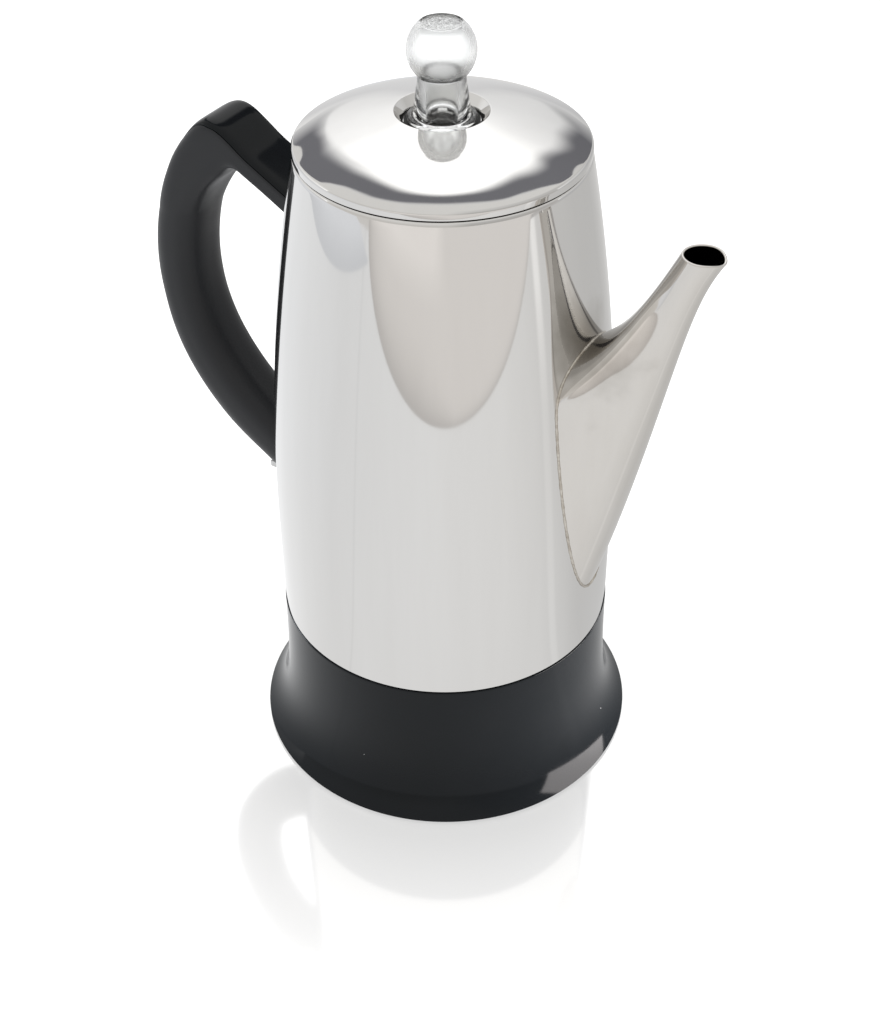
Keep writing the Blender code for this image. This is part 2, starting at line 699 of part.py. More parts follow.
# Thermostat and fuse against the pot's floor
THERMOSTAT_ANGLE = 90
FUSE_ANGLE = -90
FUSE_CIRCLE = THERMOSTAT_CIRCLE - 0.0040
thermostat_neck = THERMOSTAT_RADIUS * 0.7
thermostat_place = around(THERMOSTAT_CIRCLE, THERMOSTAT_ANGLE)
thermostat_top = FLOOR - GAP
thermostat_bottom = thermostat_top - THERMOSTAT_HEIGHT
thermostat_step = thermostat_bottom + THERMOSTAT_HEIGHT * 0.55
turned(
    "thermostat",
    [
        (0, thermostat_bottom),
        (thermostat_neck, thermostat_bottom),
        (thermostat_neck, thermostat_step),
        (THERMOSTAT_RADIUS, thermostat_step),
        (THERMOSTAT_RADIUS, thermostat_top),
        (0, thermostat_top),
    ],
    CERAMIC,
    sides=SMALL_ROUND,
    centre=(thermostat_place.x, thermostat_place.y),
)
fuse_place = around(FUSE_CIRCLE, FUSE_ANGLE, FLOOR - GAP * 2 - FUSE_RADIUS)
fuse_half = Vector((FUSE_LENGTH / 2, 0, 0))
fuse_start, fuse_end = fuse_place - fuse_half, fuse_place + fuse_half
rod("thermal_fuse", fuse_start, fuse_end, FUSE_RADIUS, PLAIN_STEEL, sides=HOLE_SIDES)

# Inlet at the back, under the handle: shroud, flange and two pins
inlet_z = FOOT_DROP + INLET_HEIGHT
inlet_front = -(base_radius(inlet_z - INLET_TALL / 2) + INLET_PROUD)
inlet_back = inlet_front + INLET_DEPTH
flange_front = -((BASE_NECK_RADIUS - SKIRT_WALL) ** 2 - (INLET_WIDTH / 2 + INLET_FLANGE) ** 2) ** 0.5 + GAP


def rounded_block(name, x_low, x_high, width, tall, corner, look=None):
    ring = []
    for quarter in range(4):
        y_side = (1, -1, -1, 1)[quarter]
        z_side = (1, 1, -1, -1)[quarter]
        for step in range(4):
            angle = pi / 2 * (quarter + step / 3)
            y = y_side * (width / 2 - corner) + corner * cos(angle)
            z = inlet_z + z_side * (tall / 2 - corner) + corner * sin(angle)
            ring.append((y, z))
    return loft(name, [[(x, y, z) for y, z in ring] for x in (x_low, x_high)], look)


inlet_housing = rounded_block(
    "inlet_housing", inlet_front, inlet_back, INLET_WIDTH, INLET_TALL, INLET_CORNER, GLOSS_BLACK
)
inlet_flange = rounded_block(
    "inlet_flange",
    flange_front,
    flange_front + INLET_FLANGE_THICKNESS,
    INLET_WIDTH + 2 * INLET_FLANGE,
    INLET_TALL + 2 * INLET_FLANGE,
    INLET_CORNER,
)
boolean(inlet_housing, inlet_flange, "UNION")
socket = rounded_block(
    "inlet_socket",
    inlet_front - OVERRUN,
    inlet_back - INLET_BACK,
    INLET_WIDTH - 2 * INLET_WALL,
    INLET_TALL - 2 * INLET_WALL,
    INLET_CORNER / 2,
)
boolean(inlet_housing, socket)
inlet_cut = rounded_block(
    "inlet_cut",
    inlet_front - OVERRUN,
    flange_front + OVERRUN,
    INLET_WIDTH + 2 * GAP,
    INLET_TALL + 2 * GAP,
    INLET_CORNER,
)
boolean(base_skirt, inlet_cut)
for number, side in enumerate((1, -1), 1):
    place = Vector((0, side * PIN_SPACING / 2, inlet_z))
    start = place + Vector((inlet_front + PIN_SET_BACK, 0, 0))
    end = place + Vector((inlet_back + PIN_TAIL, 0, 0))
    rod(f"inlet_pin_{number}", start, end, PIN_RADIUS, BRASS, sides=HOLE_SIDES)
    hole_start = place + Vector((inlet_back - INLET_BACK - OVERRUN, 0, 0))
    hole_end = place + Vector((inlet_back + OVERRUN, 0, 0))
    pin_hole = rod(f"pin_hole_{number}", hole_start, hole_end, PIN_RADIUS + GAP, sides=HOLE_SIDES)
    boolean(inlet_housing, pin_hole)

# Ready lamp through the base wall
lamp_z = FOOT_DROP + LAMP_HEIGHT
lamp_out = base_radius(lamp_z)
lamp_in = lamp_out - LAMP_DEPTH
lamp_face = around(lamp_out + LAMP_PROUD, LAMP_AZIMUTH, lamp_z)
lamp_back = around(lamp_in, LAMP_AZIMUTH, lamp_z)
rod("ready_lamp", lamp_back, lamp_face, LAMP_RADIUS, AMBER, end_radius=LAMP_RADIUS * 0.85)
lamp_cut_out = around(lamp_out + OVERRUN * 4, LAMP_AZIMUTH, lamp_z)
lamp_cut_in = around(lamp_in + OVERRUN, LAMP_AZIMUTH, lamp_z)
boolean(base_skirt, rod("lamp_cut", lamp_cut_in, lamp_cut_out, LAMP_RADIUS + GAP))
neon_start = around(lamp_in - GAP, LAMP_AZIMUTH, lamp_z)
neon_end = around(lamp_in - NEON_LENGTH, LAMP_AZIMUTH, lamp_z)
rod("lamp_neon", neon_end, neon_start, LAMP_RADIUS * 0.6, CLEAR, sides=HOLE_SIDES)


# Internal leads: smooth tubes between the pins, the thermostat, the fuse and the element
LEAD_STEPS = 12
LEAD_SIDES = 6


def lead(name, knots, look):
    path = curve_through(knots, LEAD_STEPS)
    rings = []
    for step, place in enumerate(path):
        way = Vector(path[min(step + 1, LEAD_STEPS - 1)] - path[max(step - 1, 0)]).normalized()
        side = way.cross(Vector((0.13, 0.21, 0.97))).normalized()
        up = way.cross(side)
        ring = []
        for corner in range(LEAD_SIDES):
            angle = 2 * pi * corner / LEAD_SIDES
            ring.append(Vector(place) + side * LEAD_RADIUS * cos(angle) + up * LEAD_RADIUS * sin(angle))
        rings.append(ring)
    loft(name, rings, look)


pin_end = inlet_back + PIN_TAIL + GAP * 2
pin_y = PIN_SPACING / 2
lead_low = inlet_z + 0.004
element_side = element_radius + GAP * 2 + LEAD_RADIUS
element_mid = (ELEMENT_TOP + ELEMENT_BOTTOM) / 2
thermostat_side = thermostat_bottom - LEAD_RADIUS - GAP * 2
lead(
    "lead_inlet_thermostat",
    [
        (pin_end, pin_y, inlet_z),
        (pin_end + 0.004, pin_y + 0.003, inlet_z + 0.001),
        (-0.020, 0.024, lead_low + 0.004),
        (-0.005, thermostat_place.y - 0.001, thermostat_side - 0.003),
        (-0.001, thermostat_place.y, thermostat_side),
    ],
    SLEEVE_WHITE,
)
lead(
    "lead_thermostat_element",
    [
        (0.004, thermostat_place.y, thermostat_side),
        (0.010, thermostat_place.y - 0.002, thermostat_side - 0.003),
        (0.010, element_side + 0.008, element_mid - 0.001),
        (0.002, element_side + 0.004, element_mid),
        (0.000, element_side, element_mid),
    ],
    SLEEVE_WHITE,
)
lead(
    "lead_inlet_fuse",
    [
        (pin_end, -pin_y, inlet_z),
        (pin_end + 0.004, -pin_y - 0.003, inlet_z + 0.001),
        (-0.024, -0.024, lead_low + 0.006),
        (-fuse_half.x - 0.006, fuse_place.y, fuse_place.z - 0.002),
        (-fuse_half.x - GAP * 2, fuse_place.y, fuse_place.z),
    ],
    SLEEVE_WHITE,
)
lead(
    "lead_fuse_element",
    [
        (fuse_half.x + GAP * 2, fuse_place.y, fuse_place.z),
        (fuse_half.x + 0.005, fuse_place.y + 0.001, fuse_place.z - 0.004),
        (0.008, -element_side - 0.006, element_mid + 0.003),
        (0.001, -element_side - 0.003, element_mid),
        (0.000, -element_side, element_mid),
    ],
    SLEEVE_WHITE,
)

# ---- Pump ---------------------------------------------------------------------------

collar_radius = TUBE_RADIUS + GAP + THIN_SHEET
pump_dome = PUMP_BOTTOM + PUMP_FOOT_HEIGHT
turned(
    "pump_foot",
    sheet(
        [
            (WASHER_RADIUS - BREAK * 1.2, PUMP_BOTTOM),
            (PUMP_FOOT_RADIUS - BREAK * 0.7, PUMP_BOTTOM),
            (PUMP_FOOT_RADIUS, PUMP_BOTTOM + BREAK * 0.8),
            (PUMP_FOOT_RADIUS * 0.97, PUMP_BOTTOM + PUMP_FOOT_HEIGHT * 0.36),
            (PUMP_FOOT_RADIUS * 0.72, PUMP_BOTTOM + PUMP_FOOT_HEIGHT * 0.68),
            (collar_radius + BREAK * 2, pump_dome - BREAK * 0.8),
            (collar_radius, pump_dome + BREAK * 0.8),
            (collar_radius, pump_dome + COLLAR_HEIGHT),
        ],
        THIN_SHEET,
    ),
    ALUMINIUM,
    sides=SMALL_ROUND,
)
turned(
    "valve_washer",
    [
        (WASHER_HOLE, WASHER_BOTTOM),
        (WASHER_RADIUS, WASHER_BOTTOM),
        (WASHER_RADIUS, WASHER_BOTTOM + WASHER_THICKNESS),
        (WASHER_HOLE, WASHER_BOTTOM + WASHER_THICKNESS),
    ],
    PLAIN_STEEL,
    sides=SMALL_ROUND,
)
turned(
    "pump_tube",
    [
        (TUBE_RADIUS - TUBE_WALL, TUBE_BOTTOM),
        (TUBE_RADIUS, TUBE_BOTTOM),
        (TUBE_RADIUS, STOP_TOP - STOP_THICKNESS),
        (STOP_RADIUS, STOP_TOP - STOP_THICKNESS),
        (STOP_RADIUS, STOP_TOP),
        (TUBE_RADIUS, STOP_TOP),
        (TUBE_RADIUS, TUBE_TOP),
        (TUBE_RADIUS - TUBE_WALL, TUBE_TOP),
    ],
    ALUMINIUM,
    sides=SMALL_ROUND,
)

# ---- Basket and spreader ------------------------------------------------------------

basket = turned(
    "basket",
    sheet(
        [
            (HUB_RADIUS, BASKET_BOTTOM),
            (BASKET_RADIUS - BREAK * 1.2, BASKET_BOTTOM),
            (BASKET_RADIUS, BASKET_BOTTOM + BREAK * 1.2),
            (BASKET_RADIUS, BASKET_TOP - THIN_SHEET),
            (BASKET_RADIUS + BASKET_RIM, BASKET_TOP - THIN_SHEET),
        ],
        THIN_SHEET,
    ),
    ALUMINIUM,
)
spreader_under = BASKET_TOP + GAP
lip_inner = BASKET_RADIUS + BASKET_RIM + LOOSE * 0.5
spreader_mid = spreader_under + SPREADER_RISE
spreader = turned(
    "spreader",
    sheet(
        [
            (HUB_RADIUS, spreader_mid),
            (BASKET_RADIUS * 0.5, spreader_mid),
            (BASKET_RADIUS * 0.8, spreader_under),
            (lip_inner, spreader_under),
            (lip_inner, BASKET_TOP - SPREADER_LIP),
        ],
        THIN_SHEET,
    ),
    ALUMINIUM,
)
PERFORATION_SIDES = 5


def perforate(target, label, low, high, rings):
    for ring, (radius, count) in enumerate(rings):
        for step in range(count):
            place = around(radius, 360 * (step + 0.5 * ring) / count)
            start = Vector((place.x, place.y, low))
            end = Vector((place.x, place.y, high))
            hole = rod(f"{label}_{ring}_{step}", start, end, PERFORATION_RADIUS, sides=PERFORATION_SIDES)
            boolean(target, hole)


basket_holes = ((BASKET_RADIUS * 0.45, 8), (BASKET_RADIUS * 0.80, 14))
basket_floor = BASKET_BOTTOM + THIN_SHEET
perforate(basket, "basket_hole", BASKET_BOTTOM - OVERRUN, basket_floor + OVERRUN, basket_holes)
spreader_holes = ((BASKET_RADIUS * 0.35, 8), (BASKET_RADIUS * 0.90, 14))
perforate(spreader, "spreader_hole", spreader_under - OVERRUN, spreader_mid + OVERRUN * 2, spreader_holes)

# ---- Lid ----------------------------------------------------------------------------


def lid_height(radius):
    # The dome: nearly straight from the well, with a shoulder that falls away to the band.
    share = (radius - LID_WELL_RADIUS) / (RIM_RADIUS - LID_WELL_RADIUS)
    fall = share + LID_SHOULDER * (share**4 - share)
    return SEAM + LID_RISE - (LID_RISE - LID_BAND) * fall


lid_path = [(RIM_RADIUS, SEAM + GAP), (RIM_RADIUS, SEAM + LID_BAND * 0.7)]
for share in (0.985, 0.93, 0.80, 0.55, 0.28, 0.0):
    radius = LID_WELL_RADIUS + (RIM_RADIUS - LID_WELL_RADIUS) * share
    lid_path.append((radius, lid_height(radius)))
lid_hole = STEM_RADIUS + GAP
lid_path += [
    (LID_WELL_RADIUS - BREAK * 0.7, SEAM + LID_RISE - BREAK * 0.6),
    (GASKET_RADIUS + BREAK, LID_FLOOR + BREAK * 0.6),
    (GASKET_RADIUS + BREAK * 0.6, LID_FLOOR),
    (lid_hole, LID_FLOOR),
]
lid_shell = turned("lid_shell", sheet(lid_path, SHEET), STEEL)

# Three notches that let the knob's lugs through once it is turned
LUG_ANGLES = (0, 120, 240)


def sector(name, inner, outer, low, high, middle, half):
    ring = []
    steps = 6
    for step in range(steps + 1):
        ring.append((outer, middle - half + 2 * half * step / steps))
    for step in range(steps + 1):
        ring.append((inner, middle + half - 2 * half * step / steps))
    levels = [[around(radius, angle, height) for radius, angle in ring] for height in (low, high)]
    return loft(name, levels)


for number, angle in enumerate(LUG_ANGLES, 1):
    notch = sector(
        f"lug_notch_{number}",
        lid_hole - OVERRUN * 2,
        LUG_RADIUS + GAP * 1.5,
        LID_FLOOR - SHEET - OVERRUN,
        LID_FLOOR + OVERRUN,
        angle + KNOB_TWIST,
        LUG_HALF_ANGLE + LUG_CLEARANCE,
    )
    boolean(lid_shell, notch)

# Ring inside the lid that plugs the pot's mouth
plug_radius = MOUTH_RADIUS - LOOSE


def under_lid(radius):
    return lid_height(radius) - SHEET * 1.25 - GAP


flange_inner = plug_radius - PLUG_FLANGE
turned(
    "lid_plug_ring",
    sheet(
        [
            (plug_radius, SEAM - PLUG_DEPTH),
            (plug_radius, under_lid(plug_radius) - BREAK * 0.6),
            (plug_radius - BREAK * 1.2, under_lid(plug_radius - BREAK * 1.2)),
            (flange_inner, under_lid(flange_inner)),
        ],
        THIN_SHEET,
    ),
    STEEL,
)

# Gasket and clear knob
turned(
    "knob_gasket",
    [
        (LUG_RADIUS + GAP * 2, GASKET_BOTTOM),
        (GASKET_RADIUS, GASKET_BOTTOM),
        (GASKET_RADIUS, GASKET_BOTTOM + GASKET_THICKNESS),
        (LUG_RADIUS + GAP * 2, GASKET_BOTTOM + GASKET_THICKNESS),
    ],
    SILICONE,
)


KNOB_STEPS = 7
KNOB_SIDES = 24
KNOB_CEILING = 0.80         # top of the hollow as a share of its radius


def knob_outline():
    middle = SEAM + KNOB_BALL_HEIGHT
    flange_top = FLANGE_BOTTOM + KNOB_FLANGE_THICKNESS
    neck_join = middle - (KNOB_BALL_RADIUS**2 - KNOB_NECK_RADIUS**2) ** 0.5
    outer = [
        (STEM_RADIUS - KNOB_WALL, STEM_BOTTOM),
        (STEM_RADIUS, STEM_BOTTOM),
        (STEM_RADIUS, FLANGE_BOTTOM),
        (KNOB_FLANGE_RADIUS, FLANGE_BOTTOM),
        (KNOB_FLANGE_RADIUS, flange_top),
        (KNOB_SKIRT_RADIUS, flange_top + BREAK * 0.3),
        ((KNOB_SKIRT_RADIUS + KNOB_NECK_RADIUS) / 2 - BREAK * 0.3, (flange_top + neck_join) / 2),
        (KNOB_NECK_RADIUS, neck_join),
    ]
    first = -np.arccos(KNOB_NECK_RADIUS / KNOB_BALL_RADIUS)
    last = np.arccos((KNOB_TOP_RADIUS + BREAK * 0.7) / KNOB_BALL_RADIUS)
    for turn in np.linspace(first, last, KNOB_STEPS)[1:]:
        outer.append((KNOB_BALL_RADIUS * cos(turn), middle + KNOB_BALL_RADIUS * sin(turn)))
    top = middle + KNOB_BALL_RADIUS * sin(last) + BREAK * 0.3
    outer += [(KNOB_TOP_RADIUS, top), (0, top)]
    hollow = KNOB_BALL_RADIUS - KNOB_WALL
    bore = STEM_RADIUS - KNOB_WALL
    ceiling = middle + hollow * KNOB_CEILING
    inner = [(0, ceiling), (hollow * 0.55, ceiling)]
    for turn in np.linspace(radians(43), -np.arccos(bore / hollow), KNOB_STEPS - 2):
        inner.append((hollow * cos(turn), middle + hollow * sin(turn)))
    return outer + inner


knob = turned("knob", knob_outline(), CLEAR, sides=KNOB_SIDES)
for number, angle in enumerate(LUG_ANGLES, 1):
    lug = sector(
        f"lug_{number}",
        STEM_RADIUS - BREAK,
        LUG_RADIUS,
        LUG_TOP - LUG_THICKNESS,
        LUG_TOP,
        angle,
        LUG_HALF_ANGLE,
    )
    boolean(knob, lug, "UNION")

# ---- Handle -------------------------------------------------------------------------

# The side view: matched points on the back and on the finger side, as shares of the
# handle's reach beyond the pot's axis and of its drop below the top.
HANDLE_BACK = (
    (0.440, 0.945),
    (0.630, 0.863),
    (0.780, 0.787),
    (0.895, 0.689),
    (0.967, 0.580),
    (0.999, 0.455),
    (1.000, 0.355),
    (0.974, 0.257),
    (0.922, 0.164),
    (0.847, 0.076),
    (0.729, 0.004),
)
HANDLE_FRONT = (
    (0.440, 0.807),
    (0.569, 0.734),
    (0.687, 0.655),
    (0.772, 0.569),
    (0.819, 0.485),
    (0.835, 0.404),
    (0.828, 0.322),
    (0.801, 0.240),
    (0.760, 0.180),
    (0.708, 0.137),
    (0.652, 0.102),
)
HANDLE_TOP = SEAM - HANDLE_TOP_BELOW_SEAM
ARM_SLOPE = 0.583           # the arm falls towards the pot
ARM_DEPTH = 0.0093          # level depth of the arm below its top line
GRIP_SQUARENESS = 2.6       # exponent of the rounded section
ARM_SQUARENESS = 6.5        # exponent of the flat-topped arm
GRIP_AROUND = 16
GRIP_ALONG = 25
ARM_FIRST = 20              # section at the outer corner, where the arm starts
SQUARE_FIRST = 14           # section where the grip starts to square up
ARM_ENDS = (0.0745, 0.0500)


def handle_lines():
    # Adds the arm's two ends to the curved part, then smooths both lines.
    def places(shares):
        return [(-HANDLE_REACH * x, HANDLE_TOP - HANDLE_DROP * z) for x, z in shares]

    back = places(HANDLE_BACK)
    front = places(HANDLE_FRONT)
    corner = back[-1]
    for reach in ARM_ENDS:
        top = corner[1] - ARM_SLOPE * (-reach - corner[0])
        back.append((-reach, top))
        front.append((-reach, top - ARM_DEPTH))
    return curve_through(back, GRIP_ALONG), curve_through(front, GRIP_ALONG)


grip_back, grip_front = handle_lines()


def squareness(index):
    share = np.clip((index - SQUARE_FIRST) / (ARM_FIRST - SQUARE_FIRST), 0, 1)
    return GRIP_SQUARENESS + (ARM_SQUARENESS - GRIP_SQUARENESS) * share


def grip_sections():
    # Rings between |across|^p + |deep|^p = 1, with p from the grip's or the arm's squareness.
    sections = []
    for index, (back, front) in enumerate(zip(grip_back, grip_front)):
        middle = (back + front) / 2
        half = (back - front) / 2
        power = squareness(index)
        ring = []
        for step in range(GRIP_AROUND):
            angle = 2 * pi * (step + 0.5) / GRIP_AROUND
            across, deep = sin(angle), cos(angle)
            scale = (abs(across) ** power + abs(deep) ** power) ** (-1 / power)
            place = middle + half * deep * scale
            ring.append((place[0], HANDLE_HALF_WIDTH * across * scale, place[1]))
        sections.append(ring)
    return sections


handle_grip = loft("handle_grip", grip_sections(), MATTE_BLACK)

# Gloss cap along the arm and over its outer corner, set into the top of the grip
CAP_FIRST = 16              # section where the cap's tail starts
CAP_PROUD = 0.0002
CAP_PLACES = (-1.0, -0.8, 0.0, 0.8, 1.0)
cap_widths = np.linspace(0.42, 0.95, 5)


def cap_sections(grow):
    sections = []
    for index in range(CAP_FIRST, GRIP_ALONG):
        back, front = grip_back[index], grip_front[index]
        half_depth = np.linalg.norm(back - front) / 2
        deep = (back - front) / (2 * half_depth)
        power = squareness(index)
        share = cap_widths[min(index - CAP_FIRST, len(cap_widths) - 1)] + grow / HANDLE_HALF_WIDTH
        ring = []
        for place in CAP_PLACES:
            drop = half_depth * (1 - (1 - abs(share * place) ** power) ** (1 / power))
            top = back + deep * (CAP_PROUD + grow * 8 - drop)
            ring.append((top[0], HANDLE_HALF_WIDTH * share * place, top[1]))
        low = back - deep * (drop + CAP_THICKNESS + grow)
        ring += [(low[0], HANDLE_HALF_WIDTH * share * side, low[1]) for side in (1, -1)]
        sections.append(ring)
    if grow:
        first = np.array(sections[0])
        back_step = (first - np.array(sections[1])) * 0.06
        sections[0] = [tuple(point) for point in first + back_step]
    return sections


handle_cap = loft("handle_cap", cap_sections(0.0), GLOSS_BLACK)
cap_cut = loft("cap_cut", cap_sections(GAP))

# Brackets welded to the pot, inside both ends of the handle
LOWER_TONGUE_SHARE = 0.885  # of the handle's drop
arm_way = Vector((-1, 0, ARM_SLOPE)).normalized()
arm_up = Vector((ARM_SLOPE, 0, 1)).normalized()
arm_root_x = -body_radius(HANDLE_TOP - HANDLE_DROP * 0.12)
corner_x = -HANDLE_REACH * HANDLE_BACK[-1][0]
corner_z = HANDLE_TOP - HANDLE_DROP * HANDLE_BACK[-1][1]
arm_root = Vector((arm_root_x, 0, corner_z - ARM_SLOPE * (arm_root_x - corner_x)))
tongue_middle = arm_root - arm_up * (CAP_THICKNESS + TONGUE_BELOW_CAP)


def tongue(name, start, way, up, length, grow, look=None):
    half = Vector((0, TONGUE_HALF_WIDTH + grow, 0))
    rise = up * (TONGUE_THICKNESS / 2 + grow)
    rings = []
    for place in (start - way * TONGUE_ROOT, start + way * (length + grow)):
        rings.append([place + half + rise, place - half + rise, place - half - rise, place + half - rise])
    return loft(name, rings, look)


lower_z = HANDLE_TOP - HANDLE_DROP * LOWER_TONGUE_SHARE
lower_root = Vector((-BODY_RADIUS, 0, lower_z))
level_way, level_up = Vector((-1, 0, 0)), Vector((0, 0, 1))
upper_bracket = tongue("upper_bracket", tongue_middle, arm_way, arm_up, TONGUE_LENGTH, 0.0, PLAIN_STEEL)
lower_bracket = tongue("lower_bracket", lower_root, level_way, level_up, TONGUE_LENGTH, 0.0, PLAIN_STEEL)
upper_slot = tongue("upper_slot", tongue_middle, arm_way, arm_up, TONGUE_LENGTH, GAP)
lower_slot = tongue("lower_slot", lower_root, level_way, level_up, TONGUE_LENGTH, GAP)
pot_cut = pot_solid("handle_cut", GAP)
cut_all(handle_grip, [cap_cut, upper_slot, lower_slot, pot_cut])
boolean(handle_cap, pot_cut)
boolean(upper_bracket, pot_cut)
boolean(lower_bracket, pot_cut)


SCREW_PLACE = 0.62          # along the tongue
SEAT = 0.0016               # grip left between the screw's head and the tongue
HEAD_THICKNESS = 0.0014


def handle_screw(name, tongue_start, way, up, grip_under):
    # Screws up into the tongue from below, with its head in a counterbore.
    place = tongue_start + way * TONGUE_LENGTH * SCREW_PLACE
    tip = place + up * TONGUE_THICKNESS / 2
    head_top = place - up * (TONGUE_THICKNESS / 2 + SEAT)
    head_bottom = head_top - up * HEAD_THICKNESS
    shank_low = head_bottom + up * GAP
    shank_high = tip - up * GAP
    shank = rod(f"{name}_shank", shank_low, shank_high, HANDLE_SCREW_RADIUS, sides=HOLE_SIDES)
    made = rod(name, head_bottom, head_top, HANDLE_SCREW_HEAD, PLAIN_STEEL, sides=HOLE_SIDES)
    boolean(made, shank, "UNION")
    bore_low = head_bottom - up * grip_under
    bore_high = head_top + up * GAP
    bore = rod(f"{name}_bore", bore_low, bore_high, HANDLE_SCREW_HEAD + GAP, sides=HOLE_SIDES)
    clear_high = tip + up * GAP * 2
    clear = rod(f"{name}_clear", head_bottom, clear_high, HANDLE_SCREW_RADIUS + GAP, sides=HOLE_SIDES)
    return bore, clear


UPPER_BORE = 0.0100         # counterbores run out through the grip's underside
LOWER_BORE = 0.0300
upper_bore, upper_clear = handle_screw("upper_handle_screw", tongue_middle, arm_way, arm_up, UPPER_BORE)
lower_bore, lower_clear = handle_screw("lower_handle_screw", lower_root, level_way, level_up, LOWER_BORE)
cut_all(handle_grip, [upper_bore, upper_clear, lower_bore, lower_clear])
boolean(upper_bracket, upper_clear)
boolean(lower_bracket, lower_clear)
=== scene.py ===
import json
from math import pi, radians

import bmesh
import bpy
import numpy as np
from mathutils import Matrix, Vector


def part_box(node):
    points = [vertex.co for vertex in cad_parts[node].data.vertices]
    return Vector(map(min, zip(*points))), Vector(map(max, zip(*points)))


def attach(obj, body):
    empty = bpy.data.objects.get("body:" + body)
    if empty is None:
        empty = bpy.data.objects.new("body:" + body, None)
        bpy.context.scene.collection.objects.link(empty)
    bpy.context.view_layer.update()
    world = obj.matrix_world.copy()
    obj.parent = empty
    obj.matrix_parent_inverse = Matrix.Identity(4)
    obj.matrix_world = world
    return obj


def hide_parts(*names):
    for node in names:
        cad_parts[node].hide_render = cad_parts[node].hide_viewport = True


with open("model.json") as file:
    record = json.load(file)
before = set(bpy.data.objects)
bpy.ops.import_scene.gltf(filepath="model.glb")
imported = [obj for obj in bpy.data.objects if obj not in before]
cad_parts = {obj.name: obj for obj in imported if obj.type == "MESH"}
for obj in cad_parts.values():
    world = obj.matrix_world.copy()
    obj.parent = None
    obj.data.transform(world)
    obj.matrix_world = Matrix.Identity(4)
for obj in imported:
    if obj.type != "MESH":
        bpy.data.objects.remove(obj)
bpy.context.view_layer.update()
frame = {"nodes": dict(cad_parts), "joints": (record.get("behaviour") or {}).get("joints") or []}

# The pot's own axis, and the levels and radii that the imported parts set
knobTwist = next(joint for joint in frame["joints"] if joint["name"] == "knob_twist")
axisX = knobTwist["pos_m"][0]
bodyLow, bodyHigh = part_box("body_shell")
skirtLow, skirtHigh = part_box("base_skirt")
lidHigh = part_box("lid_shell")[1]
gap = 0.0003
seam = bodyHigh.z
joint = skirtHigh.z + gap
floorUnder = bodyLow.z
bodyRadius = bodyHigh.y
baseRadius = skirtHigh.y
rimRadius = lidHigh.y
baseRim = skirtLow.z
print("frame loaded, seam at", round(seam, 4), "joint at", round(joint, 4))


# ---- small mesh and line helpers


def roundedLine(corners, radii, steps=6):
    # A closed line whose corners are quadratic curves, each starting and ending its radius away
    points = np.array(corners, float)
    before, after = np.roll(points, 1, axis=0) - points, np.roll(points, -1, axis=0) - points
    beforeLength = np.linalg.norm(before, axis=1)
    afterLength = np.linalg.norm(after, axis=1)
    cut = np.minimum(radii, 0.49 * np.minimum(beforeLength, afterLength))
    start = points + before * (cut / beforeLength)[:, None]
    end = points + after * (cut / afterLength)[:, None]
    t = np.linspace(0, 1, steps)[None, :, None]
    line = (1 - t) ** 2 * start[:, None] + 2 * t * (1 - t) * points[:, None] + t**2 * end[:, None]
    line = line.reshape(-1, points.shape[1])
    moved = np.linalg.norm(line - np.roll(line, 1, axis=0), axis=1)
    return line[moved > 1e-7]


def sheetLine(path, wall, bend):
    # Sheet metal: the path, then the same path moved to its left by the wall, with rounded corners
    line = np.array(path, float)
    runs = np.diff(line, axis=0)
    runs /= np.linalg.norm(runs, axis=1)[:, None]
    before, after = np.vstack([runs[:1], runs]), np.vstack([runs, runs[-1:]])
    across = before + after
    across /= np.linalg.norm(across, axis=1)[:, None]
    left = np.column_stack([-across[:, 1], across[:, 0]])
    inner = line + left * wall / np.sum(across * after, axis=1)[:, None]
    radii = np.full(len(line), bend)
    radii[[0, -1]] = wall * 0.45
    return roundedLine(np.vstack([line, inner[::-1]]), np.concatenate([radii, radii[::-1]]))


def smoothThrough(knots, count):
    # Catmull-Rom curve through the knots, the same number of steps in each stretch
    line = np.array(knots, float)
    line = np.vstack([2 * line[0] - line[1], line, 2 * line[-1] - line[-2]])
    share = np.linspace(0, len(knots) - 1, count)
    start = np.minimum(share.astype(int), len(knots) - 2)
    t = (share - start)[:, None]
    a, b, c, d = (line[start + shift] for shift in range(4))
    curve = 2 * b + (c - a) * t + (2 * a - 5 * b + 4 * c - d) * t**2 + (3 * b - a - 3 * c + d) * t**3
    return 0.5 * curve


def gridQuads(rows, columns, closedRows):
    # Corner numbers of the cells of a grid whose columns close on themselves
    row = np.arange(rows if closedRows else rows - 1)[:, None]
    column = np.arange(columns)[None, :]
    nextRow, nextColumn = (row + 1) % rows, (column + 1) % columns
    cell = [row * columns + column, row * columns + nextColumn]
    cell += [nextRow * columns + nextColumn, nextRow * columns + column]
    return np.stack(np.broadcast_arrays(*cell), axis=-1).reshape(-1, 4)


def meshFrom(name, points, quads):
    mesh = bpy.data.meshes.new(name)
    mesh.vertices.add(len(points))
    mesh.vertices.foreach_set("co", np.asarray(points, np.float32).ravel())
    mesh.loops.add(quads.size)
    mesh.loops.foreach_set("vertex_index", quads.ravel().astype(np.int32))
    mesh.polygons.add(len(quads))
    mesh.polygons.foreach_set("loop_start", np.arange(0, quads.size, 4, dtype=np.int32))
    mesh.update(calc_edges=True)
    # Poles are merged, open ends are closed and every face is turned outwards
    made = bmesh.new()
    made.from_mesh(mesh)
    bmesh.ops.remove_doubles(made, verts=made.verts, dist=1e-6)
    openEdges = [edge for edge in made.edges if edge.is_boundary]
    if openEdges:
        bmesh.ops.holes_fill(made, edges=openEdges, sides=0)
    bmesh.ops.recalc_face_normals(made, faces=made.faces)
    made.to_mesh(mesh)
    made.free()
    return mesh


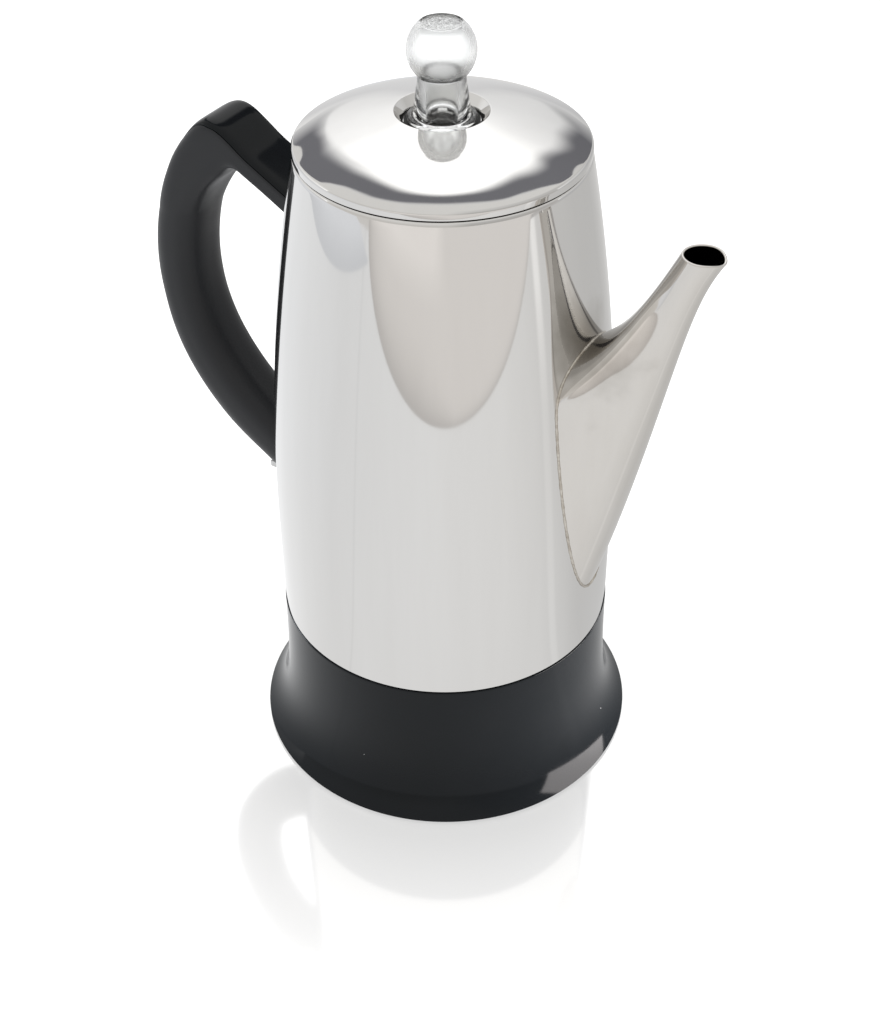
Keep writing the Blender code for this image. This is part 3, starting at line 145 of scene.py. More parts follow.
def makeObject(name, mesh):
    made = bpy.data.objects.new(name, mesh)
    bpy.context.scene.collection.objects.link(made)
    return made


def shade(piece, sharpAbove=40):
    piece.data.shade_smooth()
    piece.data.set_sharp_from_angle(angle=radians(sharpAbove))


def place(piece, body, look, slotName, *nodes):
    # Gives a finished piece its material and its body, and hides the nodes it stands for
    piece.data.materials.clear()
    piece.data.materials.append(look)
    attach(piece, body)
    if nodes:
        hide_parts(*nodes)
    return piece


def spin(name, line, columns=160, centre=(axisX, 0.0), warp=None):
    # Surface of revolution: x = r cos a, y = r sin a, z = h for each (r, h) of the line.
    # warp changes the radii and heights as whole arrays.
    angle = np.arange(columns) * 2 * pi / columns
    radius, angle = np.meshgrid(line[:, 0], angle, indexing="ij")
    height = np.broadcast_to(line[:, 1][:, None], radius.shape)
    if warp:
        radius, height = warp(radius, height, angle)
    x, y = centre[0] + radius * np.cos(angle), centre[1] + radius * np.sin(angle)
    points = np.stack([x, y, height], axis=-1)
    piece = makeObject(name, meshFrom(name, points.reshape(-1, 3), gridQuads(*radius.shape, True)))
    shade(piece)
    return piece


def carry(name, sections):
    # Skins rings with the same number of points; the first and last ring are closed
    grid = np.array(sections)
    piece = makeObject(name, meshFrom(name, grid.reshape(-1, 3), gridQuads(*grid.shape[:2], False)))
    shade(piece)
    return piece


def rod(name, start, end, radius, sides=32, bevel=0.0):
    # A round bar between two points, with both rims bevelled by the same amount
    start, end = Vector(start), Vector(end)
    along = (end - start).normalized()
    side = along.orthogonal().normalized()
    up = along.cross(side)
    length = (end - start).length
    steps = [(0, radius - bevel), (bevel, radius), (length - bevel, radius), (length, radius - bevel)]
    steps = steps if bevel else [(0, radius), (length, radius)]
    angle = np.arange(sides) * 2 * pi / sides
    ring = np.cos(angle)[:, None] * np.array(side) + np.sin(angle)[:, None] * np.array(up)
    return carry(name, [np.array(start + along * far) + ring * size for far, size in steps])


def cutAway(piece, cutters, sharpAbove=32):
    # Takes every cutter out of the piece and removes the cutters
    for cutter in cutters:
        step = piece.modifiers.new(cutter.name, "BOOLEAN")
        step.operation, step.solver, step.object = "DIFFERENCE", "EXACT", cutter
    bpy.context.view_layer.update()
    cut = piece.evaluated_get(bpy.context.evaluated_depsgraph_get())
    old, piece.data = piece.data, bpy.data.meshes.new_from_object(cut)
    piece.modifiers.clear()
    bpy.data.meshes.remove(old)
    for cutter in cutters:
        bpy.data.objects.remove(cutter)
    shade(piece, sharpAbove)
    return piece


def joinCutters(name, cutters):
    # Several separate cutters as one object
    mesh = bpy.data.meshes.new(name)
    joined = bmesh.new()
    for cutter in cutters:
        joined.from_mesh(cutter.data)
        bpy.data.objects.remove(cutter)
    joined.to_mesh(mesh)
    joined.free()
    return makeObject(name, mesh)


# ---- shader groups


def newGroup(name, inputs, outputs):
    group = bpy.data.node_groups.new(name, "ShaderNodeTree")
    for label, kind, value in inputs:
        socket = group.interface.new_socket(label, in_out="INPUT", socket_type="NodeSocket" + kind)
        socket.default_value = value
    for label, kind in outputs:
        group.interface.new_socket(label, in_out="OUTPUT", socket_type="NodeSocket" + kind)
    return group, group.nodes.new("NodeGroupInput"), group.nodes.new("NodeGroupOutput")


def addNode(tree, kind, links=None, **settings):
    node = tree.nodes.new("ShaderNode" + kind)
    for label, value in settings.items():
        setattr(node, label, value)
    for label, value in (links or {}).items():
        if isinstance(value, bpy.types.NodeSocket):
            tree.links.new(value, node.inputs[label])
        else:
            node.inputs[label].default_value = value
    return node


def mixColour(tree, mask, first, second):
    # The first colour where the mask is 0, the second where it is 1; each is a socket or three numbers
    mix = tree.nodes.new("ShaderNodeMix")
    mix.data_type = "RGBA"
    tree.links.new(mask, mix.inputs[0])
    for number, value in ((6, first), (7, second)):
        if isinstance(value, bpy.types.NodeSocket):
            tree.links.new(value, mix.inputs[number])
        else:
            mix.inputs[number].default_value = (*value, 1)
    return mix.outputs[2]


def stretchedPoint(group, given):
    # Object coordinates times the group's Stretch, so that a pattern runs along one axis
    coordinates = addNode(group, "TexCoord")
    links = {0: coordinates.outputs["Object"], 1: given.outputs["Stretch"]}
    return addNode(group, "VectorMath", links, operation="MULTIPLY").outputs[0]


def buildMarks():
    # Handling marks: soft noise that moves roughness and colour between a clean and a used value
    inputs = [("Scale", "Float", 40.0), ("Stretch", "Vector", (1, 1, 1)), ("Low", "Float", 0.1)]
    inputs += [("High", "Float", 0.2), ("Clean", "Color", (1, 1, 1, 1)), ("Used", "Color", (1, 1, 1, 1))]
    group, given, out = newGroup("handlingMarks", inputs, [("Roughness", "Float"), ("Colour", "Color")])
    point = stretchedPoint(group, given)
    links = {"Vector": point, "Scale": given.outputs["Scale"], "Detail": 6.0, "Roughness": 0.6}
    noise = addNode(group, "TexNoise", links)
    mask = addNode(group, "MapRange", {"Value": noise.outputs["Fac"], "From Min": 0.35, "From Max": 0.68})
    low, high = given.outputs["Low"], given.outputs["High"]
    spread = addNode(group, "MapRange", {"Value": mask.outputs[0], "To Min": low, "To Max": high})
    colour = mixColour(group, mask.outputs[0], given.outputs["Clean"], given.outputs["Used"])
    group.links.new(spread.outputs[0], out.inputs["Roughness"])
    group.links.new(colour, out.inputs["Colour"])
    return group


def buildGrain():
    # Fine grain: two noises, one four times finer, added as a height
    inputs = [("Scale", "Float", 1000.0), ("Stretch", "Vector", (1, 1, 1))]
    group, given, out = newGroup("fineGrain", inputs, [("Height", "Float")])
    point = stretchedPoint(group, given)
    coarse = addNode(group, "TexNoise", {"Vector": point, "Scale": given.outputs["Scale"], "Detail": 3.0})
    finer = addNode(group, "Math", {0: given.outputs["Scale"], 1: 4.0}, operation="MULTIPLY")
    fine = addNode(group, "TexNoise", {"Vector": point, "Scale": finer.outputs[0], "Detail": 2.0})
    half = addNode(group, "Math", {0: fine.outputs["Fac"], 1: 0.5}, operation="MULTIPLY")
    total = addNode(group, "Math", {0: coarse.outputs["Fac"], 1: half.outputs[0]}, operation="ADD")
    group.links.new(total.outputs[0], out.inputs["Height"])
    return group


def buildRings():
    # Lathe rings round the pot's axis: noise along the distance from the axis plus the height
    inputs = [("Centre", "Vector", (axisX, 0, 0)), ("Scale", "Float", 900.0)]
    group, given, out = newGroup("turnedRings", inputs, [("Height", "Float"), ("Mask", "Float")])
    coordinates = addNode(group, "TexCoord")
    links = {0: coordinates.outputs["Object"], 1: given.outputs["Centre"]}
    local = addNode(group, "VectorMath", links, operation="SUBTRACT")
    flat = addNode(group, "VectorMath", {0: local.outputs[0], 1: (1, 1, 0)}, operation="MULTIPLY")
    reach = addNode(group, "VectorMath", {0: flat.outputs[0]}, operation="LENGTH")
    parts = addNode(group, "SeparateXYZ", {0: local.outputs[0]})
    total = addNode(group, "Math", {0: reach.outputs["Value"], 1: parts.outputs["Z"]}, operation="ADD")
    links = {"W": total.outputs[0], "Scale": given.outputs["Scale"], "Detail": 4.0, "Roughness": 0.7}
    noise = addNode(group, "TexNoise", links, noise_dimensions="1D")
    mask = addNode(group, "MapRange", {"Value": noise.outputs["Fac"], "From Min": 0.3, "From Max": 0.7})
    group.links.new(noise.outputs["Fac"], out.inputs["Height"])
    group.links.new(mask.outputs[0], out.inputs["Mask"])
    return group


def buildDust():
    # Sparse dust: small spots round some of the cell centres, as a mask
    inputs = [("Scale", "Float", 120.0), ("Size", "Float", 0.05)]
    group, given, out = newGroup("dustSpecks", inputs, [("Mask", "Float")])
    coordinates = addNode(group, "TexCoord")
    links = {"Vector": coordinates.outputs["Object"], "Scale": given.outputs["Scale"]}
    cells = addNode(group, "TexVoronoi", links)
    links = {0: cells.outputs["Distance"], 1: given.outputs["Size"]}
    near = addNode(group, "Math", links, operation="LESS_THAN")
    pick = addNode(group, "SeparateColor", {0: cells.outputs["Color"]})
    some = addNode(group, "Math", {0: pick.outputs[0], 1: 0.12}, operation="LESS_THAN")
    both = addNode(group, "Math", {0: near.outputs[0], 1: some.outputs[0]}, operation="MULTIPLY")
    group.links.new(both.outputs[0], out.inputs["Mask"])
    return group


def buildSpot():
    # A soft round spot in Object space, broken up by noise, as a mask for painted shade
    inputs = [("Centre", "Vector", (0, 0, 0)), ("Radius", "Float", 0.02), ("Strength", "Float", 0.5)]
    group, given, out = newGroup("roundSpot", inputs, [("Mask", "Float")])
    coordinates = addNode(group, "TexCoord")
    links = {0: coordinates.outputs["Object"], 1: given.outputs["Centre"]}
    reach = addNode(group, "VectorMath", links, operation="DISTANCE")
    links = {"Vector": coordinates.outputs["Object"], "Scale": 90.0, "Detail": 2.0}
    noise = addNode(group, "TexNoise", links)
    swing = addNode(group, "Math", {0: noise.outputs["Fac"], 1: 0.5}, operation="ADD")
    far = addNode(group, "Math", {0: reach.outputs["Value"], 1: swing.outputs[0]}, operation="MULTIPLY")
    links = {"Value": far.outputs[0], "From Min": given.outputs["Radius"], "From Max": 0.0}
    links |= {"To Max": given.outputs["Strength"]}
    level = addNode(group, "MapRange", links, interpolation_type="SMOOTHSTEP")
    group.links.new(level.outputs[0], out.inputs["Mask"])
    return group


marksGroup, grainGroup, ringsGroup, dustGroup = buildMarks(), buildGrain(), buildRings(), buildDust()
spotGroup = buildSpot()
print("shader groups built")


def useGroup(tree, group, values):
    node = tree.nodes.new("ShaderNodeGroup")
    node.node_tree = group
    for label, value in values.items():
        node.inputs[label].default_value = value
    return node


dustColour = (0.35, 0.35, 0.36)


def finishLook(name, look):
    # One material from its dictionary: marks move colour and roughness, grain or rings give the bump
    material = bpy.data.materials.new(name)
    material.use_nodes = True
    tree = material.node_tree
    shader = tree.nodes["Principled BSDF"]
    clean, used = (*look["clean"], 1), (*look["used"], 1)
    values = {"Scale": look["markScale"], "Stretch": look.get("markStretch", (1, 1, 1))}
    values |= {"Low": look["roughness"][0], "High": look["roughness"][1], "Clean": clean, "Used": used}
    marks = useGroup(tree, marksGroup, values)
    colour = marks.outputs["Colour"]
    # The spot darkens the base colour round its centre: painted shade in place of the dark reflections where
    # the spout meets the pot
    if "spot" in look:
        centre, radius, strength, tint = look["spot"]
        spot = useGroup(tree, spotGroup, {"Centre": centre, "Radius": radius, "Strength": strength})
        colour = mixColour(tree, spot.outputs["Mask"], colour, tint)
    if "dust" in look:
        dust = useGroup(tree, dustGroup, {"Scale": look["dustScale"], "Size": look["dust"]})
        colour = mixColour(tree, dust.outputs["Mask"], colour, dustColour)
    tree.links.new(colour, shader.inputs["Base Color"])
    if "frost" in look:
        # Stored on the mesh: 1 on the frosted faces, 0 on the clear ones
        stored = addNode(tree, "Attribute", attribute_name="frost")
        low, high = look["frost"]
        spread = addNode(tree, "MapRange", {"Value": stored.outputs["Fac"], "To Min": low, "To Max": high})
        tree.links.new(spread.outputs[0], shader.inputs["Roughness"])
    elif look.get("clear"):
        shader.inputs["Roughness"].default_value = look["roughness"][0]
    else:
        tree.links.new(marks.outputs["Roughness"], shader.inputs["Roughness"])
    for label, value in look.get("shader", {}).items():
        shader.inputs[label].default_value = value
    if "rings" in look:
        texture = useGroup(tree, ringsGroup, {"Scale": look["rings"]})
    else:
        stretch = look.get("grainStretch", (1, 1, 1))
        texture = useGroup(tree, grainGroup, {"Scale": look["grain"], "Stretch": stretch})
    links = {"Height": texture.outputs["Height"], "Strength": look["bump"], "Distance": look["depth"]}
    bump = addNode(tree, "Bump", links)
    tree.links.new(bump.outputs[0], shader.inputs["Normal"])
    return material


# Middle of the shaded patch painted where the spout's back meets the pot
crotchSpot = (axisX + 0.0640, 0, joint + 0.1390)

# Every finish on the pot. Roughness goes from clean to handled.
looks = {
    "polishedSteel": {
        "clean": (0.700, 0.694, 0.683), "used": (0.675, 0.667, 0.655), "roughness": (0.030, 0.055),
        "markScale": 46.0, "markStretch": (1, 1, 0.06), "grain": 260.0, "grainStretch": (1, 1, 0.03),
        "bump": 0.05, "depth": 0.00002, "spot": (crotchSpot, 0.018, 0.65, (0.34, 0.32, 0.29)),
        "shader": {"Metallic": 1.0},
    },
    # The spout's copy of the polished steel is darker and warmer: painted shade
    "spoutSteel": {
        "clean": (0.660, 0.640, 0.612), "used": (0.625, 0.602, 0.572), "roughness": (0.045, 0.080),
        "markScale": 60.0, "markStretch": (1, 1, 0.2), "grain": 300.0, "grainStretch": (1, 1, 0.1),
        "bump": 0.06, "depth": 0.00002, "spot": (crotchSpot, 0.027, 0.85, (0.24, 0.22, 0.19)),
        "shader": {"Metallic": 1.0},
    },
    "weldSteel": {
        "clean": (0.58, 0.55, 0.50), "used": (0.36, 0.32, 0.27), "roughness": (0.14, 0.30),
        "markScale": 400.0, "grain": 1200.0, "bump": 0.35, "depth": 0.0001, "shader": {"Metallic": 1.0},
    },
    "insideSteel": {
        "clean": (0.60, 0.60, 0.59), "used": (0.52, 0.51, 0.49), "roughness": (0.16, 0.28),
        "markScale": 60.0, "rings": 1400.0, "bump": 0.10, "depth": 0.00005, "shader": {"Metallic": 1.0},
    },
    "plainSteel": {
        "clean": (0.60, 0.60, 0.60), "used": (0.42, 0.42, 0.41), "roughness": (0.24, 0.42),
        "markScale": 240.0, "grain": 1500.0, "bump": 0.30, "depth": 0.00005, "shader": {"Metallic": 1.0},
    },
    "spunAluminium": {
        "clean": (0.74, 0.74, 0.75), "used": (0.62, 0.61, 0.60), "roughness": (0.22, 0.36),
        "markScale": 70.0, "rings": 1100.0, "bump": 0.30, "depth": 0.00010, "shader": {"Metallic": 1.0},
    },
    "turnedBrass": {
        "clean": (0.74, 0.56, 0.27), "used": (0.52, 0.36, 0.16), "roughness": (0.18, 0.34),
        "markScale": 260.0, "grain": 1500.0, "bump": 0.20, "depth": 0.00004, "shader": {"Metallic": 1.0},
    },
    "glossBlack": {
        "clean": (0.0035, 0.0048, 0.0062), "used": (0.0048, 0.0060, 0.0075), "roughness": (0.08, 0.13),
        "markScale": 30.0, "grain": 90.0, "bump": 0.04, "depth": 0.0001, "dust": 0.045, "dustScale": 150.0,
        "shader": {"Specular IOR Level": 0.17},
    },
    "satinBlack": {
        "clean": (0.0085, 0.0095, 0.0120), "used": (0.0110, 0.0120, 0.0145), "roughness": (0.36, 0.46),
        "markScale": 55.0, "grain": 2200.0, "bump": 0.22, "depth": 0.00006, "dust": 0.05, "dustScale": 130.0,
        "shader": {"Specular IOR Level": 0.30},
    },
    "softRubber": {
        "clean": (0.014, 0.014, 0.014), "used": (0.028, 0.027, 0.026), "roughness": (0.66, 0.85),
        "markScale": 200.0, "grain": 2500.0, "bump": 0.35, "depth": 0.00008,
    },
    "clearKnob": {
        "clean": (0.985, 0.99, 0.99), "used": (0.965, 0.975, 0.975), "roughness": (0.0, 0.0), "clear": True,
        "frost": (0.0, 0.30), "markScale": 60.0, "grain": 220.0, "bump": 0.10, "depth": 0.00004,
        "shader": {"Transmission Weight": 1.0, "IOR": 1.49},
    },
    "amberLens": {
        "clean": (0.95, 0.42, 0.06), "used": (0.85, 0.33, 0.04), "roughness": (0.05, 0.05), "clear": True,
        "markScale": 300.0, "grain": 900.0, "bump": 0.10, "depth": 0.00005,
        "shader": {"Transmission Weight": 0.85, "IOR": 1.49},
    },
    "lampGlass": {
        "clean": (0.96, 0.95, 0.93), "used": (0.92, 0.88, 0.82), "roughness": (0.02, 0.02), "clear": True,
        "markScale": 300.0, "grain": 800.0, "bump": 0.05, "depth": 0.00003,
        "shader": {"Transmission Weight": 1.0, "IOR": 1.50},
    },
    "firedCeramic": {
        "clean": (0.78, 0.75, 0.70), "used": (0.66, 0.61, 0.54), "roughness": (0.45, 0.65),
        "markScale": 180.0, "grain": 1400.0, "bump": 0.35, "depth": 0.00010,
    },
    "wovenSleeve": {
        "clean": (0.74, 0.71, 0.64), "used": (0.60, 0.56, 0.48), "roughness": (0.60, 0.80),
        "markScale": 500.0, "grain": 2600.0, "grainStretch": (1, 1, 0.4), "bump": 0.60, "depth": 0.00020,
    },
}
finish = {name: finishLook(name, look) for name, look in looks.items()}
print("materials built:", len(finish))


# ---- pot

pot = {
    "sheet": 0.0008,
    "straightShare": 0.20,      # of the height, below the taper
    "mouthRadius": 0.0489,
    "shoulder": 0.0012,         # roll of the rim
    "neckDepth": 0.0050,        # the rim turned down inside
    "footRoll": 0.0006,         # bright rounded edge over the base
    "wellHole": 0.0211,
    "dent": 0.000018,           # slow unevenness of the drawn wall
    "taperSteps": 60,
}
bodyHeight = seam - joint
tubRadius = bodyRadius - 0.0025


def potRadius(height):
    # Straight, then a parabola that closes in to the rim
    share = (height - joint) / bodyHeight
    taper = np.maximum(0.0, (share - pot["straightShare"]) / (1 - pot["straightShare"]))
    return bodyRadius - (bodyRadius - rimRadius) * taper**2


def taperLine(grow=0.0):
    heights = np.linspace(joint + bodyHeight * pot["straightShare"], seam - pot["shoulder"], pot["taperSteps"])
    return np.column_stack([potRadius(heights) + grow, heights])


def unevenWall(radius, height, angle):
    # Three slow waves round the wall that grow and fade along its height
    level = (height - joint) / bodyHeight
    wave = np.sin(2 * angle + 3.0 * level) + 0.7 * np.sin(3 * angle - 5.0 * level + 1.0)
    wave += 0.5 * np.sin(5 * angle + 7.0 * level + 2.0)
    return radius + pot["dent"] * wave * np.sin(pi * np.clip(level, 0, 1)), height


def potShell():
    taper = taperLine()
    first = np.array([(pot["wellHole"], floorUnder), (tubRadius, floorUnder), (tubRadius, joint)])
    first = np.vstack([first, [(bodyRadius, joint)]])
    shoulder, mouth = pot["shoulder"], pot["mouthRadius"]
    last = np.array([(rimRadius - 0.0002, seam - 0.0002), (mouth, seam), (mouth, seam - pot["neckDepth"])])
    wall = pot["sheet"]
    inner = np.array([(mouth + wall, seam - pot["neckDepth"]), (mouth + wall, seam - wall)])
    innerTaper = taperLine(-wall)[:-1][::-1]
    bottom = [(bodyRadius - wall, joint + wall), (tubRadius - wall, joint + wall)]
    bottom += [(tubRadius - wall, floorUnder + wall), (pot["wellHole"], floorUnder + wall)]
    corners = np.vstack([first, taper, last, inner, innerTaper, bottom])
    radii = np.zeros(len(corners))
    radii[1:4] = (0.0016, 0.0004, pot["footRoll"])
    rim = len(first) + len(taper)
    radii[rim - 1 : rim + 5] = (shoulder, shoulder, 0.0006, 0.0003, 0.0003, 0.0008)
    radii[-3:-1] = 0.0014
    return spin("potShell", roundedLine(corners, radii), columns=288, warp=unevenWall)


def strainerCutters():
    # Staggered rows of holes through the wall behind the spout
    middle, pitch, rows = joint + 0.0775, 0.0110, 4
    cutters = []
    for row in range(rows):
        height = middle + (row - (rows - 1) / 2) * pitch
        for share in (-0.5, 0.5) if row % 2 else (-1, 0, 1):
            angle = share * pitch / bodyRadius
            out = Vector((np.cos(angle), np.sin(angle), 0))
            centre = Vector((axisX, 0, height))
            cutters.append(rod("hole", centre + out * 0.050, centre + out * 0.070, 0.0024, sides=20))
    return joinCutters("strainer", cutters)


potPiece = cutAway(potShell(), [strainerCutters()])
place(potPiece, "pot", finish["polishedSteel"], "polished_steel", "body_shell")
print("pot done")


# ---- spout

spout = {
    "wall": 0.0010,
    "foot": 0.0280,             # weld's lowest point above the joint
    "crotch": 0.1370,           # weld's highest point above the joint
    "halfWidth": 0.0218,
    "widest": 0.76,             # share of the weld's height
    "tipBelowSeam": 0.0128,
    "mouthLength": 0.0152,
    "mouthHalfWidth": 0.0074,
    "pinch": 0.18,              # how much the lip narrows
    "lipDrop": 0.0010,
    "lipFlare": 0.0050,
    "pull": 0.33,
    "bead": 0.00055,            # weld bead
    "around": 160,
    "along": 90,
}
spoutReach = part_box("spout")[1].x - axisX


def spoutRoot(turn, inset):
    # The weld on the pot's wall: a teardrop, 0 at the foot and pi at the crotch
    share = (1 - np.cos(turn)) / 2
    height = joint + spout["foot"] + inset + (spout["crotch"] - spout["foot"] - 2 * inset) * share
    below = np.sin(pi / 2 * np.clip(share / spout["widest"], 0, 1)) ** 0.45
    past = np.clip((share - spout["widest"]) / (1 - spout["widest"]), 0, 1)
    width = np.where(share < spout["widest"], below, (1 - past**3) ** 0.5)
    radius = potRadius(height)
    angle = np.sign(pi - turn) * (spout["halfWidth"] - inset) * width / radius
    return np.stack([radius * np.cos(angle), radius * np.sin(angle), height], axis=-1)


def spoutMouth(turn, inset):
    forward = np.cos(turn)
    lip = np.maximum(0.0, forward)
    x = spoutReach - spout["mouthLength"] / 2 + (spout["mouthLength"] / 2 - inset) * forward
    y = (spout["mouthHalfWidth"] - inset) * np.sin(turn) * (1 - spout["pinch"] * lip**2)
    z = seam - spout["tipBelowSeam"] - spout["lipDrop"] * lip**3
    return np.stack([x, y, z], axis=-1)


def spoutSkin(turn, run, inset):
    # Bezier curves from the weld to the mouth. They leave the crotch outwards and the foot
    # upwards, and the front of the lip turns out at the end.
    fold = np.minimum(turn, 2 * pi - turn)
    lower = (1 + np.cos(fold)) / 2
    side = np.where(turn <= pi, 1.0, -1.0)
    flare = spout["lipFlare"] * lower**2
    root, mouth = spoutRoot(turn, inset), spoutMouth(turn, inset)
    flareWay = np.stack([flare, 0 * flare, 0 * flare], axis=-1)
    mouth = mouth - flareWay
    rootWay = np.stack([0.80 - 0.52 * lower, -0.15 * np.sin(fold) * side, 0.60 + 0.36 * lower], axis=-1)
    tipWay = np.stack([0.42 - 0.21 * lower, 0 * lower, 0.907 + 0.071 * lower], axis=-1)
    pull = np.linalg.norm(mouth - root, axis=-1, keepdims=True) * spout["pull"]
    rootPull, tipPull = root + rootWay * pull, mouth - tipWay * pull
    t = (1 - (1 - run) ** 1.6)[None, :, None]
    root, mouth, rootPull, tipPull = (part[:, None] for part in (root, mouth, rootPull, tipPull))
    line = (1 - t) ** 3 * root + 3 * (1 - t) ** 2 * t * rootPull + 3 * (1 - t) * t**2 * tipPull
    return line + t**3 * mouth + flareWay[:, None] * t**12


def spoutPiece():
    turn = np.arange(spout["around"]) * 2 * pi / spout["around"]
    run = np.linspace(0, 1, spout["along"])
    outer = spoutSkin(turn, run, 0.0)
    inner = spoutSkin(turn, run, spout["wall"])[:, ::-1]
    # The rim between them is a half circle standing above the mouth
    over = np.linspace(0, pi, 9)[None, 1:-1, None]
    top, inside = outer[:, -1:], inner[:, :1]
    rim = (top + inside) / 2 + (top - inside) / 2 * np.cos(over)
    rim = rim + np.array([0, 0, 1]) * np.sin(over) * spout["wall"] * 0.4
    grid = np.concatenate([outer, rim, inner], axis=1).transpose(1, 0, 2)
    grid = grid + (axisX, 0, 0)
    mesh = meshFrom("spoutSkin", grid.reshape(-1, 3), gridQuads(*grid.shape[:2], True))
    piece = makeObject("spoutSkin", mesh)
    shade(piece, 60)
    return piece


def weldBead():
    # A round bead carried along the weld, half sunk in the wall, with slow ripples in its size
    turn = np.arange(360) * 2 * pi / 360
    line = spoutRoot(turn, 0.0)
    along = np.roll(line, -1, axis=0) - np.roll(line, 1, axis=0)
    along /= np.linalg.norm(along, axis=1)[:, None]
    out = line * (1, 1, 0)
    out /= np.linalg.norm(out, axis=1)[:, None]
    side = np.cross(along, out)
    size = spout["bead"] * (1 + 0.10 * np.sin(41 * turn) + 0.06 * np.sin(97 * turn))
    around = np.arange(14)[None, :, None] * 2 * pi / 14
    ring = side[:, None] * np.cos(around) + out[:, None] * np.sin(around)
    grid = (line[:, None] + ring * size[:, None, None] + (axisX, 0, 0)).transpose(1, 0, 2)
    mesh = meshFrom("weldBead", grid.reshape(-1, 3), gridQuads(*grid.shape[:2], True))
    piece = makeObject("weldBead", mesh)
    shade(piece, 80)
    return piece


place(spoutPiece(), "pot", finish["spoutSteel"], "polished_steel", "spout")
place(weldBead(), "pot", finish["weldSteel"], "polished_steel")
print("spout done")


# ---- base

base = {
    "neckRadius": 0.0661,
    "flareHeight": 0.0110,      # the flare dies away over this height
    "wall": 0.0022,
    "ledgeRadius": 0.0570,
    "ledgeThickness": 0.0027,
    "rimRound": 0.0008,
    "topRound": 0.0004,
    "flareSteps": 70,
}
ledgeTop = floorUnder - gap
ledgeBottom = ledgeTop - base["ledgeThickness"]


def skirtRadius(height):
    # The neck plus a flare that dies away exponentially
    flare = baseRadius - base["neckRadius"]
    return base["neckRadius"] + flare * np.exp(-(height - baseRim) / base["flareHeight"])


def baseSkirt():
    share = np.linspace(0, 1, base["flareSteps"]) ** 1.5
    heights = baseRim + (joint - gap - baseRim) * share
    outer = np.column_stack([skirtRadius(heights), heights])
    inside = base["neckRadius"] - base["wall"]
    ledge = [(inside, joint - gap), (inside, ledgeTop), (base["ledgeRadius"], ledgeTop)]
    ledge += [(base["ledgeRadius"], ledgeBottom), (inside, ledgeBottom)]
    low = heights[heights < ledgeBottom - base["wall"]][::-1]
    inner = np.column_stack([skirtRadius(low) - base["wall"], low])
    corners = np.vstack([outer, ledge, inner])
    radii = np.zeros(len(corners))
    radii[0], radii[-1] = base["rimRound"], base["rimRound"]
    radii[len(outer) - 1] = base["topRound"]
    radii[len(outer) : len(outer) + 5] = (0.0004, 0.0005, 0.0006, 0.0006, 0.0008)
    return spin("baseSkirt", roundedLine(corners, radii), columns=256)


inlet = {"corner": 0.0040, "clearance": 0.0003, "wall": 0.0028, "back": 0.0060, "lip": 0.0007}
inletLow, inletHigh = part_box("inlet_housing")
inletZ = (inletLow.z + inletHigh.z) / 2
shroudWidth, shroudTall = 0.0270, 0.0180
shroudGap = 2 * inlet["clearance"]


def roundedRing(width, tall, corner, steps=10):
    # A rectangle with round corners, as (y, z) offsets
    half = np.array([(1, 1), (-1, 1), (-1, -1), (1, -1)]) * (width / 2 - corner, tall / 2 - corner)
    angle = np.linspace(0, pi / 2, steps)[None, :] + np.arange(4)[:, None] * pi / 2
    arc = np.stack([np.cos(angle), np.sin(angle)], axis=-1) * corner
    return (half[:, None] + arc).reshape(-1, 2)


def inletRings(steps):
    # Rings across X, one for each (x, width, tall, corner)
    rings = []
    for x, width, tall, corner in steps:
        ring = roundedRing(width, tall, corner)
        rings.append(np.column_stack([np.full(len(ring), x), ring[:, 0], ring[:, 1] + inletZ]))
    return rings


def lampHole(radius, inner, outer):
    # A rod along the lamp's own radius of the pot, between two distances from the pot's axis
    lampLow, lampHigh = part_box("ready_lamp")
    centre = (lampLow + lampHigh) / 2
    way = Vector((centre.x - axisX, centre.y, 0)).normalized()
    foot = Vector((axisX, 0, centre.z))
    return rod("lampHole", foot + way * inner, foot + way * outer, radius, sides=48), foot, way


skirt = baseSkirt()
shroudCut = carry(
    "shroudCut",
    inletRings([
        (axisX - 0.090, shroudWidth + shroudGap, shroudTall + shroudGap, inlet["corner"]),
        (axisX - 0.055, shroudWidth + shroudGap, shroudTall + shroudGap, inlet["corner"]),
    ]),
)
lampCut, lampFoot, lampWay = lampHole(0.0043, 0.060, 0.080)
cutAway(skirt, [shroudCut, lampCut])
place(skirt, "pot", finish["glossBlack"], "black_moulding", "base_skirt")

# Inlet shroud: outside, rolled lip, socket and its floor, then two pins with round tips
front, back = inletLow.x, inletHigh.x
wall, lip = inlet["wall"], inlet["lip"]
hollowWidth, hollowTall = shroudWidth - 2 * wall, shroudTall - 2 * wall
shroud = carry(
    "inletShroud",
    inletRings([
        (back, shroudWidth, shroudTall, inlet["corner"]),
        (front + lip, shroudWidth, shroudTall, inlet["corner"]),
        (front + lip * 0.3, shroudWidth - lip * 0.6, shroudTall - lip * 0.6, inlet["corner"]),
        (front, shroudWidth - lip * 2, shroudTall - lip * 2, inlet["corner"] - lip),
        (front, hollowWidth + lip * 2, hollowTall + lip * 2, 0.0027),
        (front + lip * 0.3, hollowWidth + lip * 0.6, hollowTall + lip * 0.6, 0.0022),
        (front + lip, hollowWidth, hollowTall, 0.0020),
        (back - inlet["back"], hollowWidth, hollowTall, 0.0020),
    ]),
)
place(shroud, "pot", finish["glossBlack"], "black_moulding", "inlet_housing")
for number in (1, 2):
    low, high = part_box(f"inlet_pin_{number}")
    middle, radius = (low + high) / 2, (high.z - low.z) / 2
    end = Vector((high.x, middle.y, middle.z))
    pin = rod(f"inletPin{number}", (low.x, middle.y, middle.z), end, radius, sides=40, bevel=radius * 0.35)
    place(pin, "pot", finish["turnedBrass"], "brass", f"inlet_pin_{number}")


